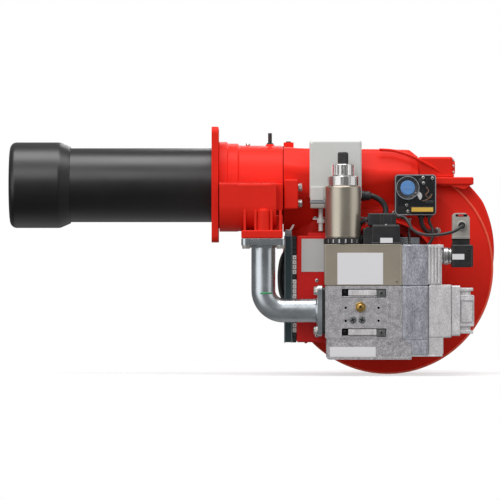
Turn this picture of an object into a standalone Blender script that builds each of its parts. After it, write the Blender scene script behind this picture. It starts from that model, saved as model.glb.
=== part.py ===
"""Industrial gas burner, built as an assembly of separate pieces.

Lengths are in millimetres here and become metres when a mesh is made. The origin is the
centre of the mounting flange's boiler-side face, on the blast tube's axis. +X runs from the
boiler wall back to the fan, +Z is up, and the gas train is on the -Y side.
"""

import math

import bmesh
import bpy
from mathutils import Matrix, Vector

MM = 0.001
GAP = 0.3
TURN = 2 * math.pi

# Sides of a round piece, by its size
LARGE_SIDES = 32
MEDIUM_SIDES = 20
SMALL_SIDES = 8

# Blast tube, its enlarged head and the mounting flange
TUBE_R = 66.5
TUBE_WALL = 2.0
TUBE_FRONT_X = -270.0
HEAD_R = 77.0
HEAD_WALL = 2.3
HEAD_FRONT_X = -363.0
HEAD_REAR_X = -254.0
HEAD_TAPER = 19.0
HEAD_LIP_R = 12.0
FLANGE_HALF = 103.0
FLANGE_T = 12.0
FLANGE_CORNER_R = 12.0
STUD_SLOT_W = 11.0
STUD_INSET_Y = 45.0
STUD_INSET_Z = 13.0
STUD_SLOT_RUN = 8.0

# Head housing, the red casting behind the flange
HOUSING_END_X = 127.5
HOUSING_R = 71.0
HOUSING_WALL = 6.0
HOUSING_PAD_STEP = 7.0
HOUSING_PAD_END_X = 27.5
HOUSING_BAND_STEP = 4.0
HOUSING_BAND_END_X = 47.0
HOUSING_ROOT_DEPTH = 21.0
CHAMBER_FRONT_Y = -166.0
CHAMBER_TOP_Z = 2.0
CHAMBER_BOTTOM_Z = -83.7
CHAMBER_WALL = 7.0
CHAMBER_CURVE_R = 46.0
LOCK_SLOT_W = 9.0

# Gas train: the centre plane, the riser and the mixing of flanges and gaskets
GAS_Y = -135.0
RISER_X = 92.0
PIPE_R = 21.2
PIPE_WALL = 3.2
GAS_LINE_Z = -223.7
GAS_BOSS_Z = -96.2
PIPE_FLANGE_HALF = 39.0
PIPE_FLANGE_T = 11.5
ELBOW_R = 36.0
OUTLET_FLANGE_X = 187.4
OUTLET_FLANGE_T = 7.9
OUTLET_FLANGE_HALF_Y = 40.0
OUTLET_FLANGE_HALF_Z = 45.0
OUTLET_PLATE_T = 5.0

# Gas valve block
VALVE_X0 = 201.0
VALVE_X1 = 336.5
VALVE_HALF_Y = 36.0
VALVE_TOP_Z = -180.0
VALVE_BOTTOM_Z = -272.7
VALVE_BORE_R = 19.0
VALVE_BASE_X0 = 203.5
VALVE_BASE_X1 = 353.0
VALVE_BASE_Z = -309.8
TERMINAL_BOX_TOP_Z = -107.0
COIL_X = 233.0
COIL_R = 31.7
COIL_TOP_Z = -3.2
COIL_RING_R = 34.2
COIL_RING_T = 11.0
CORE_R = 14.0
TOP_RING_R = 26.8
TOP_RING_TOP_Z = 14.2
KNOB_R = 20.2
KNOB_TOP_Z = 35.2
CAP_R = 9.6
CAP_TOP_Z = 56.8

# Filter and regulator block on the inlet side, with the inlet flange
FILTER_X1 = 382.0
FILTER_BOTTOM_Z = -301.2
INLET_BLOCK_X1 = 424.0
INLET_FLANGE_X1 = 463.3
INLET_HALF_Z = 44.3
INLET_HALF_Y = 38.0
INLET_BORE_R = 19.5
ADAPTOR_R = 16.0
SWITCH_X0 = 424.7
SWITCH_X1 = 462.1
SWITCH_TOP_Z = -107.0
SWITCH_BOTTOM_Z = -147.3
DIN_X0 = 426.2
DIN_X1 = 456.6
DIN_TOP_Z = -51.4
DIN_FOOT_Z = -97.3

# Fan casing: a scroll about the fan axis, and a duct from its top to the joint
FAN_X = 315.0
FAN_Z = -149.0
SCROLL_R = 189.0
SCROLL_GROWTH = 20.0
SCROLL_GROWTH_END = math.radians(35)
SCROLL_TOP_ANGLE = math.radians(46)
SCROLL_TONGUE_ANGLE = math.radians(-200)
SCROLL_FRONT_Y = -22.0
CASING_FRONT_Y = -35.0
CASING_FRONT_R = 157.0
CASING_BACK_Y = 62.0
CASING_WALL = 4.5
CASING_FRONT_HOLE_R = 98.0
CASING_BACK_HOLE_R = 118.0
JOINT_GAP = 1.0
DUCT_END_X = 370.0
DUCT_BOTTOM_Z = -84.0
LEDGE_X1 = 468.5
LEDGE_TOP_Z = 14.0
LEDGE_T = 14.0
LEDGE_HALF_Y = 50.0
COVER_END_X = 432.0
COVER_TOP_Z = 50.5
COVER_HALF_Y = 40.0
COVER_WALL = 3.0
SIGHT_HEIGHT = 18.0
SIGHT_R = 9.0

# Hinge between the head housing and the fan unit, and the clamp across the joint
HINGE_X = 138.4
HINGE_OFFSET = 13.0
HINGE_Y = HOUSING_R + HINGE_OFFSET
HINGE_R = 9.0
HINGE_PIN_R = 3.5
HINGE_TOP_Z = 78.0
KNUCKLE_H = 34.0
CLAMP_OFFSET = 13.0
CLAMP_Y = -HOUSING_R - CLAMP_OFFSET
CLAMP_BOLT_ZS = (-5.0, -34.0)
CLAMP_BOLT_R = 4.0

# Fan wheel and motor
WHEEL_R = 110.0
WHEEL_INNER_R = 92.0
WHEEL_FRONT_Y = -12.0
WHEEL_BACK_Y = 46.0
WHEEL_PLATE_T = 2.5
BLADE_COUNT = 24
BLADE_T = 1.6
SHAFT_R = 9.5
MOTOR_R = 66.0
MOTOR_PLATE_R = 127.0
MOTOR_PLATE_T = 6.0
MOTOR_END_Y = 236.0
COWL_END_Y = 272.0

# Air intake with its damper
INTAKE_PLATE_R = 106.0
INTAKE_PLATE_T = 4.0
THROAT_R = 63.0
RING_R = 86.0
RING_WALL = 5.0
RING_FRONT_Y = -80.0
DAMPER_Y = -59.0
DAMPER_PITCH = 38.0
DAMPER_COUNT = 3
DAMPER_T = 2.0
DAMPER_SHAFT_R = 3.0
LEVER_ARM = 14.0
LEVER_T = 2.5
LEVER_BOTTOM_Z = -62.5
TIE_BAR_T = 2.0
TIE_BAR_W = 7.0
LINK_PIN_R = 1.6

# Servo motor over the duct's front
SERVO_X0 = 174.5
SERVO_X1 = 267.0
SERVO_DEPTH = 33.0
SERVO_BACK_Y = 5.0 - HOUSING_R
SERVO_FRONT_Y = SERVO_BACK_Y - SERVO_DEPTH
SERVO_BOTTOM_Z = -37.5
SERVO_TOP_Z = 79.0
SERVO_SHAFT_X = 194.5
SERVO_SHAFT_Y = SERVO_BACK_Y - 14.0
SERVO_SHAFT_R = 4.0

# Air pressure switch on the duct's front
AIR_SWITCH_X0 = 326.0
AIR_SWITCH_X1 = 400.0
AIR_SWITCH_TOP_Z = 18.0
AIR_SWITCH_BOTTOM_Z = -55.0
AIR_SWITCH_FRONT_Y = -92.0
AIR_SWITCH_BACK_Y = -62.0
DIAL_X = 349.0
DIAL_Z = -6.0
DIAL_R = 13.0

# Control box with its channel and terminal strip on a bracket
CONTROL_X0 = 151.5
CONTROL_X1 = 226.0
CONTROL_TOP_Z = -91.0
CONTROL_BOTTOM_Z = -281.0
CONTROL_FRONT_Y = -88.0
BRACKET_T = 2.0
BRACKET_Y = -44.0

# Combustion head inside the tube
GAS_TUBE_R = 21.0
GAS_TUBE_WALL = 3.0
GAS_TUBE_FRONT_X = -326.0
NOZZLE_R = 25.0
GAS_TUBE_REAR_X = 116.0
CROSSOVER_X = 70.0
CROSSOVER_Z = -30.0
CROSSOVER_R = 19.0
CROSSOVER_HALF = 18.0
CROSSOVER_CORE_R = 27.0
DISC_R = 59.0
DISC_X = -320.0
STUD_X = 104.4
STUD_R = 3.5
STUD_TOP_Z = 94.0
HEAD_TRAVEL = 10.0
ELECTRODE_Z = 34.0
CERAMIC_R = 4.5
CERAMIC_FRONT_X = -300.0
CERAMIC_REAR_X = -205.0
SPIDER_X = -262.0
SPIDER_W = 16.0

# Leads
LEAD_R = 2.75
SERVO_LEAD_R = 5.0

PAINT_RED = ((0.62, 0.02, 0.015), 0.35, 0.0)
TUBE_BLACK = ((0.02, 0.02, 0.022), 0.4, 0.2)
CAST_ALUMINIUM = ((0.55, 0.55, 0.56), 0.5, 0.8)
ZINC = ((0.6, 0.62, 0.65), 0.35, 0.9)
STEEL = ((0.45, 0.45, 0.46), 0.35, 0.9)
BEIGE = ((0.35, 0.32, 0.27), 0.5, 0.1)
BLACK_PLASTIC = ((0.025, 0.025, 0.027), 0.5, 0.0)
GREY_PLASTIC = ((0.5, 0.5, 0.49), 0.5, 0.0)
DIN_GREY = ((0.3, 0.29, 0.27), 0.5, 0.0)
BRASS = ((0.6, 0.42, 0.15), 0.3, 0.9)
CERAMIC_WHITE = ((0.85, 0.83, 0.78), 0.3, 0.0)
CLEAR = ((0.8, 0.85, 0.88), 0.1, 0.0)
BLUE = ((0.05, 0.2, 0.55), 0.4, 0.0)
SLATE = ((0.05, 0.07, 0.08), 0.4, 0.4)
CABLE_BLACK = ((0.02, 0.02, 0.02), 0.6, 0.0)
WHITE_PLASTIC = ((0.75, 0.75, 0.73), 0.5, 0.0)


def clear_scene():
    for old in list(bpy.data.objects):
        bpy.data.objects.remove(old, do_unlink=True)


# Outlines in a plane, as lists of points


def circle(r, count, u=0.0, v=0.0, turn=0.0):
    return [(u + r * math.cos(turn + TURN * i / count), v + r * math.sin(turn + TURN * i / count))
            for i in range(count)]


def arc(u, v, r, start, end, count):
    """Points on an arc from one angle in degrees to another, both ends included."""
    steps = [math.radians(start + (end - start) * i / count) for i in range(count + 1)]
    return [(u + r * math.cos(a), v + r * math.sin(a)) for a in steps]


def rounded(u0, u1, v0, v1, r, count=4):
    """A rectangle whose four corners are arcs."""
    return (arc(u1 - r, v1 - r, r, 0, 90, count) + arc(u0 + r, v1 - r, r, 90, 180, count)
            + arc(u0 + r, v0 + r, r, 180, 270, count) + arc(u1 - r, v0 + r, r, 270, 360, count))


def obround(u, v, run, width, angle, count=6):
    """A slot outline: two half circles a run apart, turned to an angle in degrees."""
    r = width / 2
    flat = arc(run / 2, 0, r, -90, 90, count) + arc(-run / 2, 0, r, 90, 270, count)
    c, s = math.cos(math.radians(angle)), math.sin(math.radians(angle))
    return [(u + c * a - s * b, v + s * a + c * b) for a, b in flat]


# Solids as bmeshes, in millimetres


def in_space(axis, u, v, w):
    """The point whose plane coordinates are u, v and whose coordinate along the axis is w."""
    return {"X": (w, u, v), "Y": (u, w, v), "Z": (u, v, w)}[axis]


def finished(bm):
    bmesh.ops.recalc_face_normals(bm, faces=bm.faces)
    return bm


def prism(axis, outline, low, high):
    bm = bmesh.new()
    ends = [[bm.verts.new(in_space(axis, u, v, w)) for u, v in outline] for w in (low, high)]
    bm.faces.new(ends[0])
    bm.faces.new(ends[1])
    for i in range(len(outline)):
        j = (i + 1) % len(outline)
        bm.faces.new((ends[0][i], ends[0][j], ends[1][j], ends[1][i]))
    return finished(bm)


def loft(axis, sections):
    """A solid through sections given as (place on the axis, outline), all with as many points."""
    bm = bmesh.new()
    rings = [[bm.verts.new(in_space(axis, u, v, w)) for u, v in outline] for w, outline in sections]
    bm.faces.new(rings[0])
    bm.faces.new(rings[-1])
    for near, far in zip(rings, rings[1:]):
        for i in range(len(near)):
            j = (i + 1) % len(near)
            bm.faces.new((near[i], near[j], far[j], far[i]))
    return finished(bm)


def turned(axis, profile, centre=(0.0, 0.0), count=MEDIUM_SIDES):
    """A closed profile of (radius, place on the axis) turned about a line along the axis."""
    bm = bmesh.new()
    columns = []
    for i in range(count):
        c, s = math.cos(TURN * i / count), math.sin(TURN * i / count)
        column = []
        for k, (r, w) in enumerate(profile):
            if r > 0 or i == 0:
                column.append(bm.verts.new(in_space(axis, centre[0] + r * c, centre[1] + r * s, w)))
            else:
                column.append(columns[0][k])
        columns.append(column)
    for i in range(count):
        near, far = columns[i], columns[(i + 1) % count]
        for k in range(len(profile)):
            n = (k + 1) % len(profile)
            corners = []
            for vert in (near[k], near[n], far[n], far[k]):
                if vert not in corners:
                    corners.append(vert)
            if len(corners) > 2:
                bm.faces.new(corners)
    return finished(bm)


def rod(axis, u, v, r, low, high, count=MEDIUM_SIDES):
    return turned(axis, [(0, low), (r, low), (r, high), (0, high)], (u, v), count)


def tube(axis, u, v, outer, inner, low, high, count=MEDIUM_SIDES):
    return turned(axis, [(inner, low), (outer, low), (outer, high), (inner, high)], (u, v), count)


def block(x0, x1, y0, y1, z0, z1, bevel=0.0, segments=1):
    bm = bmesh.new()
    place = Matrix.Translation(((x0 + x1) / 2, (y0 + y1) / 2, (z0 + z1) / 2))
    bmesh.ops.create_cube(bm, size=1, matrix=place @ Matrix.Diagonal((x1 - x0, y1 - y0, z1 - z0, 1)))
    if bevel:
        bmesh.ops.bevel(bm, geom=list(bm.edges), offset=bevel, segments=segments, profile=0.5,
                        affect="EDGES", clamp_overlap=True)
    return finished(bm)


def together(*shapes):
    """Several shapes that don't touch, as one bmesh."""
    whole = bmesh.new()
    for shape in shapes:
        scratch = bpy.data.meshes.new("scratch")
        shape.to_mesh(scratch)
        whole.from_mesh(scratch)
        bpy.data.meshes.remove(scratch)
    return whole


def moved(shape, matrix):
    bmesh.ops.transform(shape, matrix=matrix, verts=shape.verts)
    return shape


def along(x=0.0, y=0.0, z=0.0):
    return Matrix.Translation((x, y, z))


def turned_about(axis, degrees, x=0.0, y=0.0, z=0.0):
    return along(x, y, z) @ Matrix.Rotation(math.radians(degrees), 4, axis) @ along(-x, -y, -z)


# Objects: a node is a mesh with its material, and Boolean cutters that stay hidden


def mesh_object(name, bm, origin):
    bmesh.ops.transform(bm, matrix=Matrix.Scale(MM, 4) @ along(*(-c for c in origin)), verts=bm.verts)
    mesh = bpy.data.meshes.new(name)
    bm.to_mesh(mesh)
    bm.free()
    obj = bpy.data.objects.new(name, mesh)
    obj.location = Vector(origin) * MM
    bpy.context.scene.collection.objects.link(obj)
    return obj


def finish_material(name, look):
    colour, roughness, metallic = look
    made = bpy.data.materials.new(name)
    made.use_nodes = True
    shader = made.node_tree.nodes["Principled BSDF"]
    shader.inputs["Base Color"].default_value = (*colour, 1.0)
    shader.inputs["Roughness"].default_value = roughness
    shader.inputs["Metallic"].default_value = metallic
    return made


def helper(node, index, operation, bm):
    tool = mesh_object(f"{node.name}_{operation.lower()}_{index}", bm, (0, 0, 0))
    tool.hide_render = True
    tool.display_type = "WIRE"
    modifier = node.modifiers.new(tool.name, "BOOLEAN")
    modifier.operation = operation
    modifier.solver = "EXACT"
    modifier.object = tool


def piece(name, base, look, join=(), cut=(), add=(), bore=(), origin=(0.0, 0.0, 0.0), smooth_angle=35):
    """One node: a base shape, joined and cut by other shapes, then added to and bored in the same way."""
    node = mesh_object(name, base, origin)
    node.data.shade_smooth()
    node.data.set_sharp_from_angle(angle=math.radians(smooth_angle))
    node.data.materials.append(finish_material(name, look))
    steps = [("UNION", join), ("DIFFERENCE", cut), ("UNION", add), ("DIFFERENCE", bore)]
    for index, (operation, shape) in enumerate((op, shape) for op, shapes in steps for shape in shapes):
        helper(node, index, operation, shape)
    return node


def joint_empty(name, origin, parent=None):
    """An empty on a joint's axis, which carries the pieces of one moving body."""
    empty = bpy.data.objects.new(name, None)
    empty.empty_display_size = 0.03
    bpy.context.scene.collection.objects.link(empty)
    empty.matrix_world = Matrix.Translation(Vector(origin) * MM)
    if parent:
        carry(parent, empty)
    return empty


def carry(parent, *children):
    bpy.context.view_layer.update()
    for child in children:
        child.parent = parent
        child.matrix_parent_inverse = parent.matrix_world.inverted()


def make_blast_tube():
    tube_rear = FLANGE_T - GAP
    piece("blast_tube", tube("X", 0, 0, TUBE_R, TUBE_R - TUBE_WALL, TUBE_FRONT_X, tube_rear, LARGE_SIDES),
          TUBE_BLACK)
    lip_x = HEAD_FRONT_X + HEAD_LIP_R
    lip_r = HEAD_R - HEAD_LIP_R
    taper_x = HEAD_REAR_X - HEAD_TAPER
    collar_r = TUBE_R + GAP
    inner_r = HEAD_R - HEAD_WALL
    outer_lip = [(r, x) for x, r in arc(lip_x, lip_r, HEAD_LIP_R, 180, 90, 4)]
    inner_lip = [(r, x) for x, r in arc(lip_x, lip_r, HEAD_LIP_R - HEAD_WALL, 90, 180, 2)]
    profile = outer_lip + [(HEAD_R, taper_x), (collar_r + HEAD_WALL, HEAD_REAR_X), (collar_r, HEAD_REAR_X),
                           (collar_r, HEAD_REAR_X - HEAD_TAPER / 2), (inner_r, taper_x)] + inner_lip
    piece("head_sleeve", turned("X", profile, count=LARGE_SIDES), TUBE_BLACK)


def make_mounting_flange():
    slot_y, slot_z = FLANGE_HALF - STUD_INSET_Y, FLANGE_HALF - STUD_INSET_Z
    angle = math.degrees(math.atan2(slot_z, slot_y))
    slots = [prism("X", obround(a * slot_y, b * slot_z, STUD_SLOT_RUN, STUD_SLOT_W, a * b * angle),
                   -5, FLANGE_T + 5) for a in (-1, 1) for b in (-1, 1)]
    bore = rod("X", 0, 0, TUBE_R + GAP, -5, FLANGE_T + 5, LARGE_SIDES)
    outline = rounded(-FLANGE_HALF, FLANGE_HALF, -FLANGE_HALF, FLANGE_HALF, FLANGE_CORNER_R)
    piece("mounting_flange", prism("X", outline, 0, FLANGE_T), PAINT_RED, cut=[bore, together(*slots)])


def knuckle_span(index):
    """Lowest and highest Z of one hinge knuckle, counted from the top."""
    top = HINGE_TOP_Z - index * KNUCKLE_H
    return top - KNUCKLE_H + GAP, top


def chamber_outline(inset, rear_y):
    """The gas chamber's section in Y and Z, with its front curving under."""
    front, top, bottom = CHAMBER_FRONT_Y + inset, CHAMBER_TOP_Z - inset, CHAMBER_BOTTOM_Z + inset
    curve, edge = CHAMBER_CURVE_R - inset, 6.0
    return ([(rear_y, top)] + arc(front + edge, top - edge, edge, 90, 180, 3)
            + arc(front + curve, bottom + curve, curve, 180, 270, 8) + [(rear_y, bottom)])


def make_head_housing():
    start = FLANGE_T + GAP
    lug_x = HOUSING_END_X - 15
    pad_r, band_r = HOUSING_R + HOUSING_PAD_STEP, HOUSING_R + HOUSING_BAND_STEP
    root = HOUSING_R - HOUSING_ROOT_DEPTH
    steps = [(0, start), (pad_r, start), (pad_r, HOUSING_PAD_END_X),
             (band_r, HOUSING_PAD_END_X), (band_r, HOUSING_BAND_END_X),
             (HOUSING_R, HOUSING_BAND_END_X), (HOUSING_R, HOUSING_END_X), (0, HOUSING_END_X)]
    chamber = prism("X", chamber_outline(0, -20), start + 2, lug_x + 2)
    boss_r = PIPE_R + 9
    boss = rod("Z", RISER_X, GAS_Y, boss_r, GAS_BOSS_Z + 4, CHAMBER_BOTTOM_Z + CHAMBER_CURVE_R, MEDIUM_SIDES)
    pad = block(RISER_X - PIPE_FLANGE_HALF, HOUSING_END_X - 1.5, GAS_Y - PIPE_FLANGE_HALF,
                GAS_Y + PIPE_FLANGE_HALF,
                GAS_BOSS_Z, CHAMBER_BOTTOM_Z + 1.5, 3)
    rib_foot = GAS_BOSS_Z + 5
    rib = [(GAS_Y - PIPE_FLANGE_HALF + 3, rib_foot),
           (CHAMBER_FRONT_Y - 1, CHAMBER_BOTTOM_Z + CHAMBER_CURVE_R - 8),
           (GAS_Y, CHAMBER_BOTTOM_Z + CHAMBER_CURVE_R - 8), (GAS_Y, rib_foot)]
    ribs = [prism("X", rib, RISER_X + shift - 2, RISER_X + shift + 2) for shift in (-33, -14, 14, 30)]
    lug = block(lug_x, HOUSING_END_X - 0.3, CLAMP_Y - 20, -root, CHAMBER_TOP_Z - 48, CHAMBER_TOP_Z - 0.4, 2)
    webs = []
    web_x = HOUSING_END_X - 23.5
    for index in (1, 3):
        low, high = knuckle_span(index)
        outline = ([(web_x, root), (HOUSING_END_X - 0.5, root), (HOUSING_END_X - 0.5, HINGE_Y - HINGE_R)]
                   + arc(HINGE_X, HINGE_Y, HINGE_R, -90, 90, 10) + [(web_x, HOUSING_R - 3)])
        webs.append(prism("Z", outline, low, high))
    bore = rod("X", 0, 0, HOUSING_R - HOUSING_WALL, start - 5, HOUSING_END_X + 5, LARGE_SIDES)
    hollow = prism("X", chamber_outline(CHAMBER_WALL, -HOUSING_R - 5), start + 2 + CHAMBER_WALL, lug_x - 5)
    gas_bore = rod("Z", RISER_X, GAS_Y, PIPE_R - PIPE_WALL, GAS_BOSS_Z - 5, CHAMBER_BOTTOM_Z + 20,
                   MEDIUM_SIDES)
    crossing = rod("Y", CROSSOVER_X, CROSSOVER_Z, CROSSOVER_R + GAP, -HOUSING_R - 10, -30, MEDIUM_SIDES)
    slot = prism("Z", obround(STUD_X, 0, 2 * HEAD_TRAVEL, LOCK_SLOT_W, 0), root, HOUSING_R + 10)
    pin_bore = rod("Z", HINGE_X, HINGE_Y, HINGE_PIN_R + GAP, -100, 100, SMALL_SIDES)
    bolt_bores = [rod("X", CLAMP_Y, z, CLAMP_BOLT_R + 1.2, lug_x + 3, HOUSING_END_X + 5, SMALL_SIDES)
                  for z in CLAMP_BOLT_ZS]
    piece("head_housing", turned("X", steps, count=LARGE_SIDES), PAINT_RED,
          join=[chamber, boss, pad, together(*ribs), lug, *webs],
          cut=[bore, hollow, gas_bore, crossing, slot, pin_bore, together(*bolt_bores)])


def make_gas_crossover():
    """The elbow that feeds the gas tube from the chamber, across the air stream."""
    seat = -HOUSING_R - 5 - GAP
    core = rod("X", 0, 0, CROSSOVER_CORE_R, CROSSOVER_X - CROSSOVER_HALF, CROSSOVER_X + CROSSOVER_HALF,
               LARGE_SIDES)
    arm = turned("Y", [(0, seat - 3.5), (CROSSOVER_R + 4.5, seat - 3.5), (CROSSOVER_R + 4.5, seat),
                       (CROSSOVER_R, seat),
                       (CROSSOVER_R, 16), (0, 16)], (CROSSOVER_X, CROSSOVER_Z))
    bore = rod("X", 0, 0, GAS_TUBE_R + GAP, CROSSOVER_X - 2 * CROSSOVER_HALF,
               CROSSOVER_X + 2 * CROSSOVER_HALF, MEDIUM_SIDES)
    feed = rod("Y", CROSSOVER_X, CROSSOVER_Z, CROSSOVER_R - 4, seat - 10, 11, MEDIUM_SIDES)
    piece("gas_crossover", core, CAST_ALUMINIUM, join=[arm], cut=[bore, feed])


def pipe_flange_corners(half):
    offset = half - 8.5
    return [(RISER_X + a * offset, GAS_Y + b * offset) for a in (-1, 1) for b in (-1, 1)]


def make_gas_pipe():
    """The square flange under the housing, the riser, the elbow and the flange at the valve."""
    top = GAS_BOSS_Z - GAP
    low = top - PIPE_FLANGE_T
    half = PIPE_FLANGE_HALF
    corners = pipe_flange_corners(half)
    plate = prism("Z", rounded(RISER_X - half, RISER_X + half, GAS_Y - half, GAS_Y + half, 8), low, top)
    holes = [rod("Z", x, y, 4.3, low - 5, top + 5, SMALL_SIDES) for x, y in corners]
    piece("riser_flange", plate, CAST_ALUMINIUM,
          cut=[rod("Z", RISER_X, GAS_Y, PIPE_R + GAP, low - 5, top - 3, MEDIUM_SIDES),
               rod("Z", RISER_X, GAS_Y, PIPE_R - PIPE_WALL, top - 8, top + 5, MEDIUM_SIDES),
               together(*holes)])

    outer = gas_path_tube(PIPE_R, 0)
    inner = gas_path_tube(PIPE_R - PIPE_WALL, 8)
    piece("gas_pipe", outer, ZINC, cut=[inner])


def gas_path_tube(r, extend):
    """The riser, one quarter bend and the level run, as a solid of one radius."""
    start = GAS_BOSS_Z - GAP - 3 - GAP + extend
    end = OUTLET_FLANGE_X + OUTLET_FLANGE_T - 2.5 + extend
    bend = [(RISER_X + ELBOW_R - ELBOW_R * math.cos(a), GAS_LINE_Z + ELBOW_R - ELBOW_R * math.sin(a), a)
            for a in (math.radians(90 * i / 8) for i in range(9))]
    path = [(RISER_X, start, 0.0)] + bend + [(end, GAS_LINE_Z, math.radians(90))]
    bm = bmesh.new()
    rings = []
    for x, z, a in path:
        across = (math.cos(a), math.sin(a))
        ring = [(x + r * math.cos(t) * across[0], GAS_Y + r * math.sin(t), z + r * math.cos(t) * across[1])
                for t in (TURN * i / MEDIUM_SIDES for i in range(MEDIUM_SIDES))]
        rings.append([bm.verts.new(p) for p in ring])
    bm.faces.new(rings[0])
    bm.faces.new(rings[-1])
    for near, far in zip(rings, rings[1:]):
        for i in range(len(near)):
            j = (i + 1) % len(near)
            bm.faces.new((near[i], near[j], far[j], far[i]))
    return finished(bm)


def bolt_along(axis, u, v, shank_r, across, tip, seat, head_t):
    """A bolt along an axis, from its tip to the seat of the head and past it."""
    head_end = seat + math.copysign(head_t, seat - tip)
    return turned(axis, [(0, tip), (shank_r, tip), (shank_r, seat), (across / 2, seat),
                         (across / 2, head_end), (0, head_end)], (u, v), SMALL_SIDES)


def make_valve_outlet():
    half_y, half_z = OUTLET_FLANGE_HALF_Y, OUTLET_FLANGE_HALF_Z
    end = OUTLET_FLANGE_X + OUTLET_FLANGE_T
    corners = [(GAS_Y + a * (half_y - 10), GAS_LINE_Z + b * (half_z - 10)) for a in (-1, 1) for b in (-1, 1)]
    outline = rounded(GAS_Y - half_y, GAS_Y + half_y, GAS_LINE_Z - half_z, GAS_LINE_Z + half_z, 9)
    holes = together(*[rod("X", y, z, 4.3, OUTLET_FLANGE_X - 5, end + 10, SMALL_SIDES) for y, z in corners])
    seat = rod("X", GAS_Y, GAS_LINE_Z, PIPE_R + GAP, OUTLET_FLANGE_X - 5, end - 2.2, MEDIUM_SIDES)
    bore = rod("X", GAS_Y, GAS_LINE_Z, PIPE_R - PIPE_WALL, end - 4, end + 5, MEDIUM_SIDES)
    piece("outlet_flange", prism("X", outline, OUTLET_FLANGE_X, end), CAST_ALUMINIUM, cut=[seat, bore, holes])
    plate_x = end + GAP
    ring = rounded(GAS_Y - half_y + 4, GAS_Y + half_y - 4, GAS_LINE_Z - half_z + 4, GAS_LINE_Z + half_z - 4,
                   6)
    holes = together(*[rod("X", y, z, 4.3, plate_x - 5, plate_x + 10, SMALL_SIDES) for y, z in corners])
    bore = rod("X", GAS_Y, GAS_LINE_Z, VALVE_BORE_R, plate_x - 5, plate_x + 10, MEDIUM_SIDES)
    piece("outlet_seal_plate", prism("X", ring, plate_x, plate_x + OUTLET_PLATE_T), BLACK_PLASTIC,
          cut=[bore, holes])


def gas_bore(x0, x1):
    return rod("X", GAS_Y, GAS_LINE_Z, VALVE_BORE_R, x0 - 5, x1 + 5, MEDIUM_SIDES)


def make_valve_block():
    front, back = GAS_Y - VALVE_HALF_Y, GAS_Y + VALVE_HALF_Y
    body = block(VALVE_X0, VALVE_X1, front, back, VALVE_BOTTOM_Z, VALVE_TOP_Z, 3)
    recesses = []
    for top in (VALVE_TOP_Z - 5, VALVE_BOTTOM_Z + 18):
        recesses.append(block(VALVE_X0 + 29, VALVE_X1 - 28, front - 5, front + 5, top - 15.5, top))
    middle_z = (VALVE_TOP_Z + VALVE_BOTTOM_Z) / 2
    ports = [rod("Y", VALVE_X0 + x, middle_z + z, 2.2, front - 5, front + 6, SMALL_SIDES) for x in (36, 93)
             for z in (8, -15)]
    piece("valve_body", body, CAST_ALUMINIUM,
          cut=[gas_bore(VALVE_X0, VALVE_X1), together(*recesses), together(*ports)])
    foot = VALVE_BOTTOM_Z - GAP
    outline = [(VALVE_BASE_X0 + 9, VALVE_BASE_Z), (VALVE_BASE_X1, VALVE_BASE_Z),
               (VALVE_BASE_X1, VALVE_BASE_Z + 29),
               (VALVE_X1 - 1, foot), (VALVE_BASE_X0, foot), (VALVE_BASE_X0, VALVE_BASE_Z + 9)]
    label_bed = block(VALVE_BASE_X0 + 5, VALVE_X1 - 48, front - 5, front + 0.8, VALVE_BASE_Z + 3,
                      VALVE_BASE_Z + 22)
    piece("valve_base", prism("Y", outline, front + 1, back - 1), CAST_ALUMINIUM, cut=[label_bed])
    nipple_z = middle_z + 9.5
    nipple = turned("Y", [(0, front - GAP), (8.5, front - GAP), (8.5, front - 4), (5, front - 4.5),
                          (4, front - 11), (0, front - 11)], (VALVE_X0 + 62, nipple_z), SMALL_SIDES)
    piece("test_nipple", nipple, BRASS)


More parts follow.
